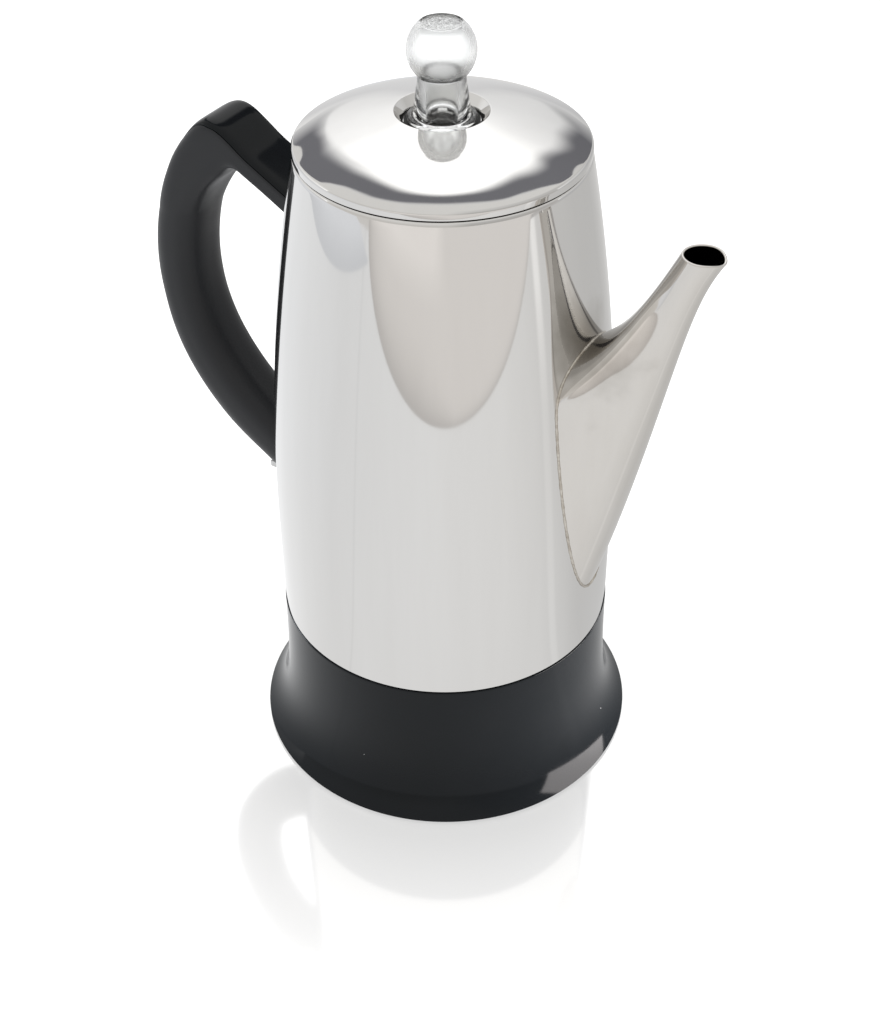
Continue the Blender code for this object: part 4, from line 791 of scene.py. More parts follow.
def lampLens():
    # A domed lens in its hole: a line about the lamp's own axis, spun and then laid along it
    radius, depth = 0.0040, 0.0064
    line = roundedLine(
        [(0, 0), (radius, 0), (radius, depth - 0.0008), (radius * 0.75, depth + 0.0004), (0, depth + 0.0008)],
        [0, 0.0003, 0.0008, 0.0016, 0],
    )
    piece = spin("lampLens", line, columns=64, centre=(0.0, 0.0))
    tilt = Vector((0, 0, 1)).rotation_difference(lampWay).to_matrix().to_4x4()
    near = skirtRadius(lampFoot.z) - 0.0058
    piece.data.transform(Matrix.Translation(lampFoot + lampWay * near) @ tilt)
    return piece


place(lampLens(), "pot", finish["amberLens"], "amber_lens", "ready_lamp")
print("base done")


# ---- underside

coverLow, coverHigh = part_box("bottom_cover")
cover = {"ribs": 3, "ribHeight": 0.0006, "bevel": 0.0006}


def bottomCover():
    # A flat disc with shallow concentric ribs on its underside
    edge = coverHigh.y
    radii = np.linspace(0.004, edge - 0.020, 120)
    swell = np.clip(np.sin(radii / (edge - 0.020) * pi * cover["ribs"] * 2), 0, 1) ** 0.6
    ribs = np.column_stack([radii, coverLow.z + cover["ribHeight"] * (1 - swell)])
    corners = np.vstack([
        [(0, coverHigh.z), (0, coverLow.z + cover["ribHeight"])], ribs,
        [(edge - 0.018, coverLow.z), (edge, coverLow.z), (edge, coverHigh.z)],
    ])
    bevels = np.zeros(len(corners))
    bevels[-3:] = cover["bevel"]
    return spin("bottomCover", roundedLine(corners, bevels), columns=160)


coverPiece = bottomCover()
cutters = []
for number in (1, 2, 3):
    low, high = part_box(f"cover_screw_{number}")
    x, y = (low.x + high.x) / 2, (low.y + high.y) / 2
    cutters.append(rod("sink", (x, y, coverLow.z - 0.001), (x, y, coverLow.z + 0.0012), 0.0031))
    head = roundedLine(
        [(0, low.z), (0.0028, low.z), (0.0028, low.z + 0.0006), (0.0014, low.z + 0.0007),
         (0.0014, high.z), (0, high.z)],
        [0, 0.0004, 0.0002, 0.0002, 0.0003, 0],
    )
    screw = spin(f"coverScrew{number}", head, columns=40, centre=(x, y))
    slots = [
        rod("slot", (x - alongX, y - alongY, low.z), (x + alongX, y + alongY, low.z), 0.00035, 8)
        for alongX, alongY in ((0.0016, 0), (0, 0.0016))
    ]
    cutAway(screw, slots)
    place(screw, "pot", finish["plainSteel"], "plain_steel", f"cover_screw_{number}")
for number in (1, 2, 3, 4):
    low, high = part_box(f"foot_{number}")
    x, y, reach = (low.x + high.x) / 2, (low.y + high.y) / 2, (high.x - low.x) / 2
    cutters.append(rod("footHole", (x, y, coverLow.z - 0.001), (x, y, coverHigh.z + 0.001), 0.0030))
    stem = coverHigh.z + gap
    line = roundedLine(
        [(0, low.z), (reach, low.z), (reach, coverLow.z - gap), (0.0027, coverLow.z - gap), (0.0027, stem),
         (0.0035, stem), (0.0027, high.z), (0, high.z)],
        [0, 0.0005, 0.0003, 0.0002, 0.0002, 0.0002, 0.0004, 0],
    )
    foot = spin(f"rubberFoot{number}", line, columns=56, centre=(x, y))
    place(foot, "pot", finish["softRubber"], "rubber", f"foot_{number}")
cutAway(coverPiece, [joinCutters("coverHoles", cutters)])
place(coverPiece, "pot", finish["satinBlack"], "black_grip", "bottom_cover")
print("underside done")


# ---- lid and knob

lid = {
    "sheet": 0.0008,
    "band": 0.0034,             # upright band above the seam
    "rise": 0.0142,             # seam up to the edge of the well
    "shoulder": 0.20,
    "wellRadius": 0.0163,
    "wellFloorRadius": 0.0136,
    "hole": 0.0081,
    "notch": 0.0106,            # reach of the three notches for the knob's lugs
    "notchHalf": 21.0,
    "dent": 0.00006,            # slow unevenness of the pressing
    "steps": 70,
}
wellFloor = seam + lid["rise"] - 0.0047


def lidHeight(radius):
    # Nearly straight from the well, then a shoulder that falls away to the band
    share = (radius - lid["wellRadius"]) / (rimRadius - lid["wellRadius"])
    fall = share + lid["shoulder"] * (share**4 - share)
    return seam + lid["rise"] - (lid["rise"] - lid["band"]) * fall


def unevenLid(radius, height, angle):
    # Slow waves on the dome, and the three notches at the edge of the hole
    inside = np.clip((radius - 0.018) / 0.010, 0, 1) * np.clip((rimRadius - radius) / 0.012, 0, 1)
    wave = np.sin(2 * angle + 0.6) + 0.8 * np.sin(3 * angle + 90 * radius) + 0.5 * np.sin(5 * angle + 2.0)
    near = np.abs(np.degrees(angle) % 120 - 60) < lid["notchHalf"]
    edge = np.clip((lid["notch"] + 0.0004 - radius) / 0.0004, 0, 1) * near
    return radius + edge * (lid["notch"] - lid["hole"]), height + lid["dent"] * wave * inside


def lidShell():
    radii = np.linspace(rimRadius - 0.0006, lid["wellRadius"], lid["steps"])
    dome = np.column_stack([radii, lidHeight(radii)])
    outer = [(rimRadius, seam + gap), (rimRadius, seam + lid["band"] * 0.80)]
    well = [(lid["wellFloorRadius"], wellFloor), (lid["hole"], wellFloor)]
    wall = lid["sheet"]
    innerWell = [(lid["hole"], wellFloor - wall), (lid["wellFloorRadius"] + wall * 0.5, wellFloor - wall)]
    innerRadii = radii[2:][::-1]
    inner = np.column_stack([innerRadii, lidHeight(innerRadii) - wall])
    lower = [(rimRadius - wall, seam + lid["band"] * 0.6), (rimRadius - wall, seam + gap)]
    corners = np.vstack([outer, dome, well, innerWell, inner, lower])
    bend = np.zeros(len(corners))
    bend[0], bend[1], bend[2] = 0.0004, 0.0012, 0.0008
    edge = 2 + len(dome)
    bend[edge - 1] = 0.0007
    bend[edge : edge + 4] = (0.0008, 0.0003, 0.0003, 0.0006)
    bend[-1] = 0.0003
    return spin("lidShell", roundedLine(corners, bend, 8), columns=288, warp=unevenLid)


def plugRing():
    ringLow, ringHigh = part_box("lid_plug_ring")
    edge = ringHigh.y
    path = [(edge, ringLow.z), (edge, lidHeight(edge) - 0.0019)]
    path.append((edge - 0.0012, lidHeight(edge - 0.0012) - 0.0013))
    path.append((edge - 0.0080, lidHeight(edge - 0.0080) - 0.0013))
    return spin("plugRing", sheetLine(path, 0.0006, 0.0010), columns=192)


def gasket():
    low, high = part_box("knob_gasket")
    outer, inner = high.y, 0.0108
    corners = [(inner, low.z), (outer, low.z), (outer, high.z), (inner, high.z)]
    return spin("knobGasket", roundedLine(corners, [0.0003] * 4), columns=96)


place(lidShell(), "lid", finish["polishedSteel"], "polished_steel", "lid_shell")
place(plugRing(), "lid", finish["insideSteel"], "polished_steel", "lid_plug_ring")
place(gasket(), "lid", finish["softRubber"], "rubber", "knob_gasket")

knob = {
    "ball": 0.0118,
    "ballHeight": 0.0353,       # middle of the ball above the seam
    "top": 0.0069,
    "neck": 0.0081,
    "skirt": 0.0101,
    "flange": 0.0119,
    "flangeThickness": 0.0012,
    "wall": 0.0022,
    "stem": 0.0078,
    "lug": 0.0102,
    "lugHalf": 18.0,
    "lugThickness": 0.0012,
    "pebbles": 260,
    "pebbleSize": 0.00034,
    "pebbleRise": 0.00026,
}
knobLow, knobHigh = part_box("knob")


def pebbled(radius, height, angle):
    # Round bumps at seeded random places on the flat top, and the bayonet lugs round the stem
    seed = np.random.default_rng(7)
    reach = (knob["top"] - 0.0005) * np.sqrt(seed.random(knob["pebbles"]))
    spot = seed.random(knob["pebbles"]) * 2 * pi
    size = knob["pebbleSize"] * (0.7 + 0.6 * seed.random(knob["pebbles"]))
    x, y = radius * np.cos(angle), radius * np.sin(angle)
    onTop = (height > knobHigh.z - 0.0003) & (radius < knob["top"])
    offset = (x[..., None] - reach * np.cos(spot)) ** 2 + (y[..., None] - reach * np.sin(spot)) ** 2
    bumps = np.max(np.exp(-offset / size**2), axis=-1) * knob["pebbleRise"]
    lugTop = knobLow.z + gap + knob["lugThickness"]
    near = np.abs((np.degrees(angle) + 60) % 120 - 60) < knob["lugHalf"]
    outside = radius > knob["stem"] - 0.0004
    lug = near & outside & (height > knobLow.z + gap * 0.5) & (height < lugTop + 0.0001)
    grown = np.where(lug, knob["lug"], radius)
    return grown, height + np.where(onTop, bumps - knob["pebbleRise"], 0.0)


def knobPiece():
    middle = seam + knob["ballHeight"]
    flangeLow = wellFloor + gap * 2 + 0.0012
    flangeTop = flangeLow + knob["flangeThickness"]
    neckJoin = middle - (knob["ball"] ** 2 - knob["neck"] ** 2) ** 0.5
    bore = knob["stem"] - knob["wall"]
    lugLow, lugTop = knobLow.z + gap, knobLow.z + gap + knob["lugThickness"]
    stemLine = np.linspace(lugLow, lugTop, 6)
    first = -np.arccos(knob["neck"] / knob["ball"])
    last = np.arccos((knob["top"] + 0.0005) / knob["ball"])
    turn = np.linspace(first, last, 60)[1:]
    ball = np.column_stack([knob["ball"] * np.cos(turn), middle + knob["ball"] * np.sin(turn)])
    share = np.linspace(0, 1, 16)
    waist = np.column_stack([
        knob["skirt"] + (knob["neck"] - knob["skirt"]) * share**0.8,
        flangeTop + 0.0004 + (neckJoin - flangeTop - 0.0004) * share,
    ])
    disc = np.linspace(knob["top"], 0, 64)
    top = np.column_stack([disc, np.full(64, knobHigh.z)])
    hollow = knob["ball"] - knob["wall"]
    ceiling = middle + hollow * 0.80
    inTurn = np.linspace(radians(43), -np.arccos(bore / hollow), 40)
    cavity = np.column_stack([hollow * np.cos(inTurn), middle + hollow * np.sin(inTurn)])
    corners = np.vstack([
        [(bore, knobLow.z), (knob["stem"], knobLow.z)],
        np.column_stack([np.full(6, knob["stem"]), stemLine]),
        [(knob["stem"], flangeLow), (knob["flange"], flangeLow), (knob["flange"], flangeTop)],
        waist, ball, top, [(0, ceiling), (hollow * 0.55, ceiling)], cavity,
    ])
    bend = np.zeros(len(corners))
    bend[0:2] = 0.0003
    bend[8:11] = (0.0003, 0.0004, 0.0005)
    bend[11] = 0.0006
    lastBall = 11 + len(waist) + len(ball)
    bend[lastBall - 1 : lastBall + 1] = 0.0003
    bend[lastBall + 65] = 0.0020
    return spin("clearKnob", roundedLine(corners, bend), columns=240, warp=pebbled)


def frostKnob(piece):
    # The ball's hollow and the pebbled top are frosted
    count = len(piece.data.vertices)
    points = np.empty(count * 3, np.float32)
    piece.data.vertices.foreach_get("co", points)
    points = points.reshape(-1, 3).astype(float)
    reach = np.hypot(points[:, 0] - axisX, points[:, 1])
    middle = seam + knob["ballHeight"]
    hollow = np.hypot(reach, points[:, 2] - middle) < knob["ball"] - knob["wall"] + 0.0004
    onTop = (reach < knob["top"] - 0.0003) & (points[:, 2] > middle)
    frosted = (hollow & (points[:, 2] > middle - 0.0078)) | onTop
    layer = piece.data.attributes.new("frost", "FLOAT", "POINT")
    layer.data.foreach_set("value", frosted.astype(np.float32))


knobObject = knobPiece()
shade(knobObject, 50)
frostKnob(knobObject)
place(knobObject, "knob", finish["clearKnob"], "clear_knob", "knob")
print("lid and knob done")


# ---- handle

handle = {
    "reach": 0.1287,            # back of the grip from the pot's axis
    "halfWidth": 0.0121,
    "topBelowSeam": 0.0077,
    "drop": 0.1750,
    "gripSquareness": 2.6,
    "armSquareness": 6.5,
    "armSlope": 0.583,
    "armDepth": 0.0093,
    "armEnds": (0.0745, 0.0500),
    "squareFrom": 14 / 24,      # shares of the length where the section starts and ends squaring up
    "squareTo": 20 / 24,
    "partingLine": 0.00007,     # height of the moulding lines on the finger side
    "around": 120,
    "along": 220,
    "capFrom": 16 / 24,
    "capWidths": (0.42, 0.95),
    "capTaper": 4 / 24,
    "capThickness": 0.0020,
    "capProud": 0.0002,
    "capGroove": 0.00028,
    "capRound": 0.0006,
}
# The side view as shares of the reach and of the drop: the back, then the finger side.
# These points were fitted, and then rescaled.
handleBack = (
    (0.440, 0.945), (0.630, 0.863), (0.780, 0.787), (0.895, 0.689), (0.967, 0.580), (0.999, 0.455),
    (1.000, 0.355), (0.974, 0.257), (0.922, 0.164), (0.847, 0.076), (0.729, 0.004),
)
handleFront = (
    (0.440, 0.807), (0.569, 0.734), (0.687, 0.655), (0.772, 0.569), (0.819, 0.485), (0.835, 0.404),
    (0.828, 0.322), (0.801, 0.240), (0.760, 0.180), (0.708, 0.137), (0.652, 0.102),
)
handleTop = seam - handle["topBelowSeam"]


def handleLines():
    scale = np.array([-handle["reach"], -handle["drop"]])
    back = np.array(handleBack) * scale + (axisX, handleTop)
    front = np.array(handleFront) * scale + (axisX, handleTop)
    ends = axisX - np.array(handle["armEnds"])
    tops = back[-1, 1] - handle["armSlope"] * (ends - back[-1, 0])
    back = np.vstack([back, np.column_stack([ends, tops])])
    front = np.vstack([front, np.column_stack([ends, tops - handle["armDepth"]])])
    return smoothThrough(back, handle["along"]), smoothThrough(front, handle["along"])


backLine, frontLine = handleLines()
gripShare = np.linspace(0, 1, handle["along"])
squaring = np.clip((gripShare - handle["squareFrom"]) / (handle["squareTo"] - handle["squareFrom"]), 0, 1)
squareness = handle["gripSquareness"] + (handle["armSquareness"] - handle["gripSquareness"]) * squaring


def gripPiece():
    # Rings between the two lines where |across|^p + |deep|^p = 1, with two fine ridges on the finger side
    middle, half = (backLine + frontLine) / 2, (backLine - frontLine) / 2
    angle = (np.arange(handle["around"]) + 0.5) * 2 * pi / handle["around"]
    across, deep = np.sin(angle)[None, :], np.cos(angle)[None, :]
    power = squareness[:, None]
    scale = (np.abs(across) ** power + np.abs(deep) ** power) ** (-1 / power)
    fromBack = np.abs((angle - pi + pi) % (2 * pi) - pi)
    ridge = np.exp(-(((fromBack - radians(38)) / 0.035) ** 2))[None, :] * (1 - squaring[:, None])
    scale = scale * (1 + ridge * handle["partingLine"] / handle["halfWidth"])
    x = middle[:, :1] + half[:, :1] * deep * scale
    z = middle[:, 1:] + half[:, 1:] * deep * scale
    return carry("handleGrip", np.stack([x, handle["halfWidth"] * across * scale, z], axis=-1))


def capGrid(grow):
    # The cap follows the top of each ring and goes down its thickness at both edges
    chosen = gripShare >= handle["capFrom"] - grow * 2
    back, front, power = backLine[chosen], frontLine[chosen], squareness[chosen][:, None]
    share = (gripShare[chosen] - handle["capFrom"]) / handle["capTaper"]
    low, high = handle["capWidths"]
    width = low + (high - low) * np.clip(share, 0, 1) ** 0.9 + grow / handle["halfWidth"]
    width = width[:, None]
    depth = np.linalg.norm(back - front, axis=1, keepdims=True) / 2
    deep = (back - front) / (2 * depth)
    rounding = (handle["capRound"] - grow) / handle["halfWidth"]
    corner = np.linspace(0, pi / 2, 6)
    inset = rounding * (1 - np.sin(corner))
    fall = handle["capRound"] * (1 - np.cos(corner))
    flat = np.linspace(-1, 1, 41)
    edge = width - rounding
    places = np.concatenate([-(width - inset[::-1]), edge * flat, width - inset], axis=1)
    falls = np.concatenate([fall[::-1], 0 * flat, fall])[None, :]
    drop = depth * (1 - (1 - np.clip(np.abs(places), 0, 1) ** power) ** (1 / power))
    rise = handle["capProud"] + grow * 8 - drop - (falls if not grow else 0)
    top = back[:, None] + deep[:, None] * rise[..., None]
    under = handle["capProud"] - drop[:, -1:] - handle["capThickness"] - grow
    low = back[:, None] + deep[:, None] * under[..., None]
    x = np.concatenate([top[..., 0], low[..., 0], low[..., 0]], axis=1)
    z = np.concatenate([top[..., 1], low[..., 1], low[..., 1]], axis=1)
    y = np.concatenate([places, width, -width], axis=1) * handle["halfWidth"]
    return np.stack([x, y, z], axis=-1)


def potCutter(name, grow):
    taper = taperLine(grow)
    low, high = floorUnder - 0.010, seam + 0.010
    corners = np.vstack([
        [(0, low), (bodyRadius + grow, low), (bodyRadius + grow, joint)], taper,
        [(rimRadius + grow, high), (0, high)],
    ])
    return spin(name, roundedLine(corners, np.zeros(len(corners))), columns=192)


grip = gripPiece()
screwCuts = []
for name in ("upper_handle_screw", "lower_handle_screw"):
    low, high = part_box(name)
    middle = (low + high) / 2
    up = Vector((handle["armSlope"], 0, 1)).normalized() if name.startswith("upper") else Vector((0, 0, 1))
    start = middle - up * (0.012 if name.startswith("upper") else 0.032)
    screwCuts.append(rod("bore", start, middle - up * 0.0009, 0.0033, sides=40))
cutAway(grip, [carry("capCut", capGrid(handle["capGroove"])), *screwCuts, potCutter("potCut", 0.0002)])
place(grip, "pot", finish["satinBlack"], "black_grip", "handle_grip")
cap = cutAway(carry("handleCap", capGrid(0.0)), [potCutter("potCut", 0.0002)], 50)
place(cap, "pot", finish["glossBlack"], "black_moulding", "handle_cap")
print("handle done")


# ---- pump, basket and spreader

tube = {"radius": 0.0035, "wall": 0.0008, "stop": 0.0065, "stopThickness": 0.0025, "hub": 0.0044}
tubeLow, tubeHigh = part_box("pump_tube")
basketLow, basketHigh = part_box("basket")
spreadLow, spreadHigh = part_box("spreader")
footLow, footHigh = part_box("pump_foot")
stopTop = basketLow.z - gap


def pumpTube():
    radius, bore = tube["radius"], tube["radius"] - tube["wall"]
    stopLow = stopTop - tube["stopThickness"]
    corners = [(bore, tubeLow.z), (radius, tubeLow.z), (radius, stopLow), (tube["stop"], stopLow)]
    corners += [(tube["stop"], stopTop), (radius, stopTop), (radius, tubeHigh.z), (bore, tubeHigh.z)]
    radii = [0.0003, 0.0003, 0.0004, 0.0006, 0.0006, 0.0004, 0.0003, 0.0003]
    return spin("pumpTube", roundedLine(corners, radii), columns=72)


def pumpFoot():
    low, reach, tall = footLow.z, footHigh.y, 0.0125
    collar = tube["radius"] + gap + 0.0006
    path = [(0.0131, low), (reach - 0.0007, low), (reach, low + 0.0008), (reach * 0.97, low + tall * 0.36)]
    path += [(reach * 0.72, low + tall * 0.68), (collar + 0.0020, low + tall - 0.0008)]
    path += [(collar, low + tall + 0.0008), (collar, footHigh.z)]
    return spin("pumpFoot", sheetLine(path, 0.0006, 0.0022), columns=128)


def holesAround(name, rings, low, high, radius):
    cutters = []
    for reach, count in rings:
        for step in range(count):
            angle = 2 * pi * step / count + reach * 500
            x, y = axisX + reach * np.cos(angle), reach * np.sin(angle)
            cutters.append(rod("hole", (x, y, low), (x, y, high), radius, sides=10))
    return joinCutters(name, cutters)


sieve = {"hole": 0.0009, "pitch": 0.0052, "first": 0.0105, "wallRadius": 0.0430}


def sieveRings(last):
    # Rings of holes one pitch apart, each with as many holes as fit that pitch
    reach = np.arange(sieve["first"], last, sieve["pitch"])
    return [(float(r), int(2 * pi * r / sieve["pitch"])) for r in reach]


def basketPiece():
    reach = sieve["wallRadius"]
    path = [(tube["hub"], basketLow.z), (reach, basketLow.z), (reach, basketHigh.z - 0.0006)]
    path.append((basketHigh.y, basketHigh.z - 0.0006))
    made = spin("coffeeBasket", sheetLine(path, 0.0006, 0.0020), columns=192)
    under = basketLow.z
    cutter = holesAround("basketHoles", sieveRings(reach - 0.004), under - 0.001, under + 0.002, sieve["hole"])
    return cutAway(made, [cutter])


def spreaderPiece():
    under, reach = basketHigh.z + gap, sieve["wallRadius"]
    middle = under + 0.0020
    path = [(tube["hub"], middle), (reach * 0.5, middle), (reach * 0.8, under)]
    path += [(spreadHigh.y - 0.0006, under), (spreadHigh.y - 0.0006, spreadLow.z)]
    made = spin("spreaderPlate", sheetLine(path, 0.0006, 0.0020), columns=192)
    rings = sieveRings(reach - 0.002)
    cutter = holesAround("spreaderHoles", rings, under - 0.001, middle + 0.002, sieve["hole"])
    return cutAway(made, [cutter])


def washer():
    low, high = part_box("valve_washer")
    corners = [(0.0060, low.z), (high.y, low.z), (high.y, high.z), (0.0060, high.z)]
    return spin("valveWasher", roundedLine(corners, [0.0002] * 4), columns=96)


def well():
    wellLow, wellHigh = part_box("heating_well")
    flange, radius, sheet = wellHigh.y, 0.0205, 0.0008
    under = footLow.z - gap - sheet
    inner = radius - sheet
    corners = [(0, wellLow.z), (0.0030, wellLow.z), (0.0030, under), (radius, under)]
    corners += [(radius, wellHigh.z - sheet), (flange, wellHigh.z - sheet), (flange, wellHigh.z)]
    corners += [(inner, wellHigh.z), (inner, under + sheet), (0, under + sheet)]
    radii = [0, 0.0004, 0.0006, 0.0016, 0.0004, 0.0003, 0.0003, 0.0010, 0.0016, 0]
    return spin("heatingWell", roundedLine(corners, radii), columns=144)


place(pumpTube(), "pump", finish["spunAluminium"], "spun_aluminium", "pump_tube")
place(pumpFoot(), "pump", finish["spunAluminium"], "spun_aluminium", "pump_foot")
place(basketPiece(), "basket", finish["spunAluminium"], "spun_aluminium", "basket")
place(spreaderPiece(), "spreader", finish["spunAluminium"], "spun_aluminium", "spreader")
place(washer(), "valve", finish["plainSteel"], "plain_steel", "valve_washer")
place(well(), "pot", finish["insideSteel"], "polished_steel", "heating_well")
print("inside done")


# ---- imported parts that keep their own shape

carriedOver = {
    "plainSteel": ["base_stud_1", "base_stud_2", "base_stud_3", "base_nut_1", "base_nut_2", "base_nut_3",
                   "element_plate", "thermal_fuse", "upper_bracket", "lower_bracket",
                   "upper_handle_screw", "lower_handle_screw"],
    "spunAluminium": ["main_element"],
    "turnedBrass": ["element_nut"],
    "lampGlass": ["lamp_neon"],
    "firedCeramic": ["thermostat", "warming_element"],
    "wovenSleeve": ["lead_fuse_element", "lead_inlet_fuse", "lead_inlet_thermostat",
                    "lead_thermostat_element"],
}
for look, names in carriedOver.items():
    for name in names:
        node = frame["nodes"][name]
        node.data.materials.clear()
        node.data.materials.append(finish[look])


# ---- floor, light and camera

studio = {
    "turn": 31.5,               # camera round the pot, from the handle-to-spout line
    "tilt": 39.0,
    "away": 0.5101,
    "height": 0.5134,
    "lens": 57.84,
    "floorRadius": 1.30,
    "floorColour": (0.34, 0.34, 0.34),
    "floorGlow": (0.55, 0.84),          # the floor's own light at the pot's foot and further out; the dimmer light at the foot is painted shade
    "floorShadeFade": (0.080, 0.170),        # distances from the axis where it starts and stops rising
    "floorIndex": 3.0,                  # how strongly the floor mirrors the pot
    "tableLevel": -0.0015,              # the table sheet lies under the floor
    # Brightness of the white table as the pot reflects it, by angle from the camera's side
    "tableAngles": (-180, -130, -105, -70, -40, 0, 35, 55, 72, 85, 130, 180),
    "tableLevels": (0.80, 1.05, 1.02, 0.95, 0.97, 0.98, 0.95, 0.89, 0.80, 0.72, 0.64, 0.80),
    "tableEdge": 0.46,          # front edge of the white table, from the pot's axis
    "tableBow": (0.32, 0.09),   # how far that edge bows away at the left and at the right
    "beyond": (0.895, 0.862, 0.835),
    "beyondShade": (0.30, 0.30),        # darkening along the edge, at the right and at the left
    "sideEdge": 0.80,
}
turnAngle = radians(studio["turn"])
rightWay = np.array([np.cos(turnAngle), np.sin(turnAngle)])
towardWay = np.array([np.sin(turnAngle), -np.cos(turnAngle)])


def onFloor(right, toward, height):
    # Points from their distances to the camera's right and towards the camera
    flat = right[..., None] * rightWay + toward[..., None] * towardWay + (axisX, 0)
    return np.concatenate([flat, np.full((*right.shape, 1), height)], axis=-1)


def buildFade():
    # Grey that rises from Low to High with distance from a centre; on the floor the low grey round the pot's
    # foot is painted shade
    inputs = [("Centre", "Vector", (0, 0, 0)), ("Near", "Float", 0.1), ("Far", "Float", 0.2)]
    inputs += [("Low", "Float", 0.5), ("High", "Float", 1.0)]
    group, given, out = newGroup("floorShadeFade", inputs, [("Colour", "Color")])
    coordinates = addNode(group, "TexCoord")
    links = {0: coordinates.outputs["Object"], 1: given.outputs["Centre"]}
    reach = addNode(group, "VectorMath", links, operation="DISTANCE")
    sockets = {"From Min": "Near", "From Max": "Far", "To Min": "Low", "To Max": "High"}
    links = {label: given.outputs[source] for label, source in sockets.items()}
    links["Value"] = reach.outputs["Value"]
    level = addNode(group, "MapRange", links)
    colour = addNode(group, "CombineColor", {index: level.outputs[0] for index in range(3)})
    group.links.new(colour.outputs[0], out.inputs["Colour"])
    return group


def makeFloor():
    # The floor that the camera sees. Reflections see the table sheet below instead.
    angle = -np.arange(128) * 2 * pi / 128
    rim = onFloor(studio["floorRadius"] * np.sin(angle), studio["floorRadius"] * np.cos(angle), 0.0)
    mesh = bpy.data.meshes.new("floor")
    mesh.from_pydata(rim.tolist(), [], [tuple(range(128))])
    floor = makeObject("floor", mesh)
    material = bpy.data.materials.new("paleFloor")
    material.use_nodes = True
    tree = material.node_tree
    shader = tree.nodes["Principled BSDF"]
    colour = (*studio["floorColour"], 1)
    values = {"Scale": 6.0, "Low": 0.060, "High": 0.085, "Clean": colour, "Used": colour}
    marks = useGroup(tree, marksGroup, values)
    tree.links.new(marks.outputs["Colour"], shader.inputs["Base Color"])
    tree.links.new(marks.outputs["Roughness"], shader.inputs["Roughness"])
    # The floor glows dimmer close to the pot's foot: painted shade round the foot
    (low, high), (near, far) = studio["floorGlow"], studio["floorShadeFade"]
    values = {"Centre": (axisX, 0, 0), "Near": near, "Far": far, "Low": low, "High": high}
    fade = useGroup(tree, buildFade(), values)
    tree.links.new(fade.outputs["Colour"], shader.inputs["Emission Color"])
    shader.inputs["Emission Strength"].default_value = 1.0
    shader.inputs["IOR"].default_value = studio["floorIndex"]
    floor.data.materials.append(material)
    floor.visible_glossy = False
    floor.visible_shadow = False


def glowCard(name, right, toward, height, glow):
    # A sheet that lights only reflections; its brightness at each point is a stored attribute
    points = onFloor(right, toward, height)
    rows, columns = right.shape
    row, column = np.arange(rows - 1)[:, None], np.arange(columns - 1)[None, :]
    corners = [row * columns + column, row * columns + column + 1]
    corners += [(row + 1) * columns + column + 1, (row + 1) * columns + column]
    quads = np.stack(np.broadcast_arrays(*corners), axis=-1).reshape(-1, 4)
    mesh = bpy.data.meshes.new(name)
    mesh.from_pydata(points.reshape(-1, 3).tolist(), [], quads.tolist())
    layer = mesh.attributes.new("glow", "FLOAT_COLOR", "POINT")
    layer.data.foreach_set("color", np.concatenate([glow, np.ones_like(glow[..., :1])], axis=-1).ravel())
    card = makeObject(name, mesh)
    material = bpy.data.materials.new(name)
    material.use_nodes = True
    tree = material.node_tree
    shader = tree.nodes["Principled BSDF"]
    stored = addNode(tree, "Attribute", attribute_name="glow")
    tree.links.new(stored.outputs["Color"], shader.inputs["Emission Color"])
    shader.inputs["Emission Strength"].default_value = 1.0
    shader.inputs["Base Color"].default_value = (0, 0, 0, 1)
    shader.inputs["Specular IOR Level"].default_value = 0.0
    mesh.materials.append(material)
    card.visible_camera = card.visible_shadow = card.visible_diffuse = False


def tableCard():
    # The white table round the pot. Its brightness follows the angle, with one fine fold at the
    # left, one bright strip at the right and a little shade close to the base.
    turn, share = np.meshgrid(np.linspace(-180, 180, 721), np.linspace(0, 1, 40) ** 2)
    reach = 0.02 + share * studio["floorRadius"]
    right, toward = reach * np.sin(np.radians(turn)), reach * np.cos(np.radians(turn))
    level = np.interp(turn, studio["tableAngles"], studio["tableLevels"])
    level *= 1 - 0.06 * np.exp(-(reach - 0.08) / 0.03)
    level *= 1 - 0.06 * np.exp(-(((turn + 54.5) / 0.6) ** 2))
    level *= 1 + (0.08 + 0.24 * np.clip((reach - 0.45) / 0.4, 0, 1)) * np.exp(-(((turn - 64) / 2.6) ** 4))
    cool = np.clip(-turn / 120, -0.6, 1.0) * np.clip(reach / 0.3, 0, 1)
    tint = np.stack([1 - 0.012 * cool, 1 + 0 * cool, 1 + 0.018 * cool], axis=-1)
    glowCard("tableCard", right, toward, studio["tableLevel"], tint * level[..., None])


def frontCard():
    # Beyond the table's front edge. The edge bows away from the pot on both sides.
    across = np.linspace(-2.0, 2.0, 161)
    share = np.linspace(0, 1, 70) ** 3
    right, share = np.meshgrid(across, share)
    left, rightBow = studio["tableBow"]
    near = studio["tableEdge"] + np.where(right < 0, left, rightBow) * right**2
    toward = near + share * 2.4
    onLeft = np.clip((0.05 - right) / 0.20, 0, 1)
    width = 0.016 + 0.080 * onLeft
    depth = studio["beyondShade"][0] + (studio["beyondShade"][1] - studio["beyondShade"][0]) * onLeft
    shading = depth * np.exp(-(toward - near) / width)
    lift = 1 + 0.14 * onLeft * np.clip((toward - 0.9) / 0.4, 0, 1)
    glow = np.array(studio["beyond"]) * ((1 - shading) * lift)[..., None]
    glowCard("frontCard", right, toward, 0.0015, glow)


def sideCard():
    # Beyond the table's left edge
    toward, share = np.meshgrid(np.linspace(-1.2, 0.66, 60), np.linspace(0, 1, 40) ** 2)
    right = -(studio["sideEdge"] + 0.12 * (toward - 0.3) ** 2) - share * 1.6
    level = 0.80 + 0.16 * np.clip(share * 6, 0, 1)
    glow = np.array([0.97, 0.99, 1.03]) * level[..., None]
    glowCard("sideCard", right, toward, 0.0010, glow)


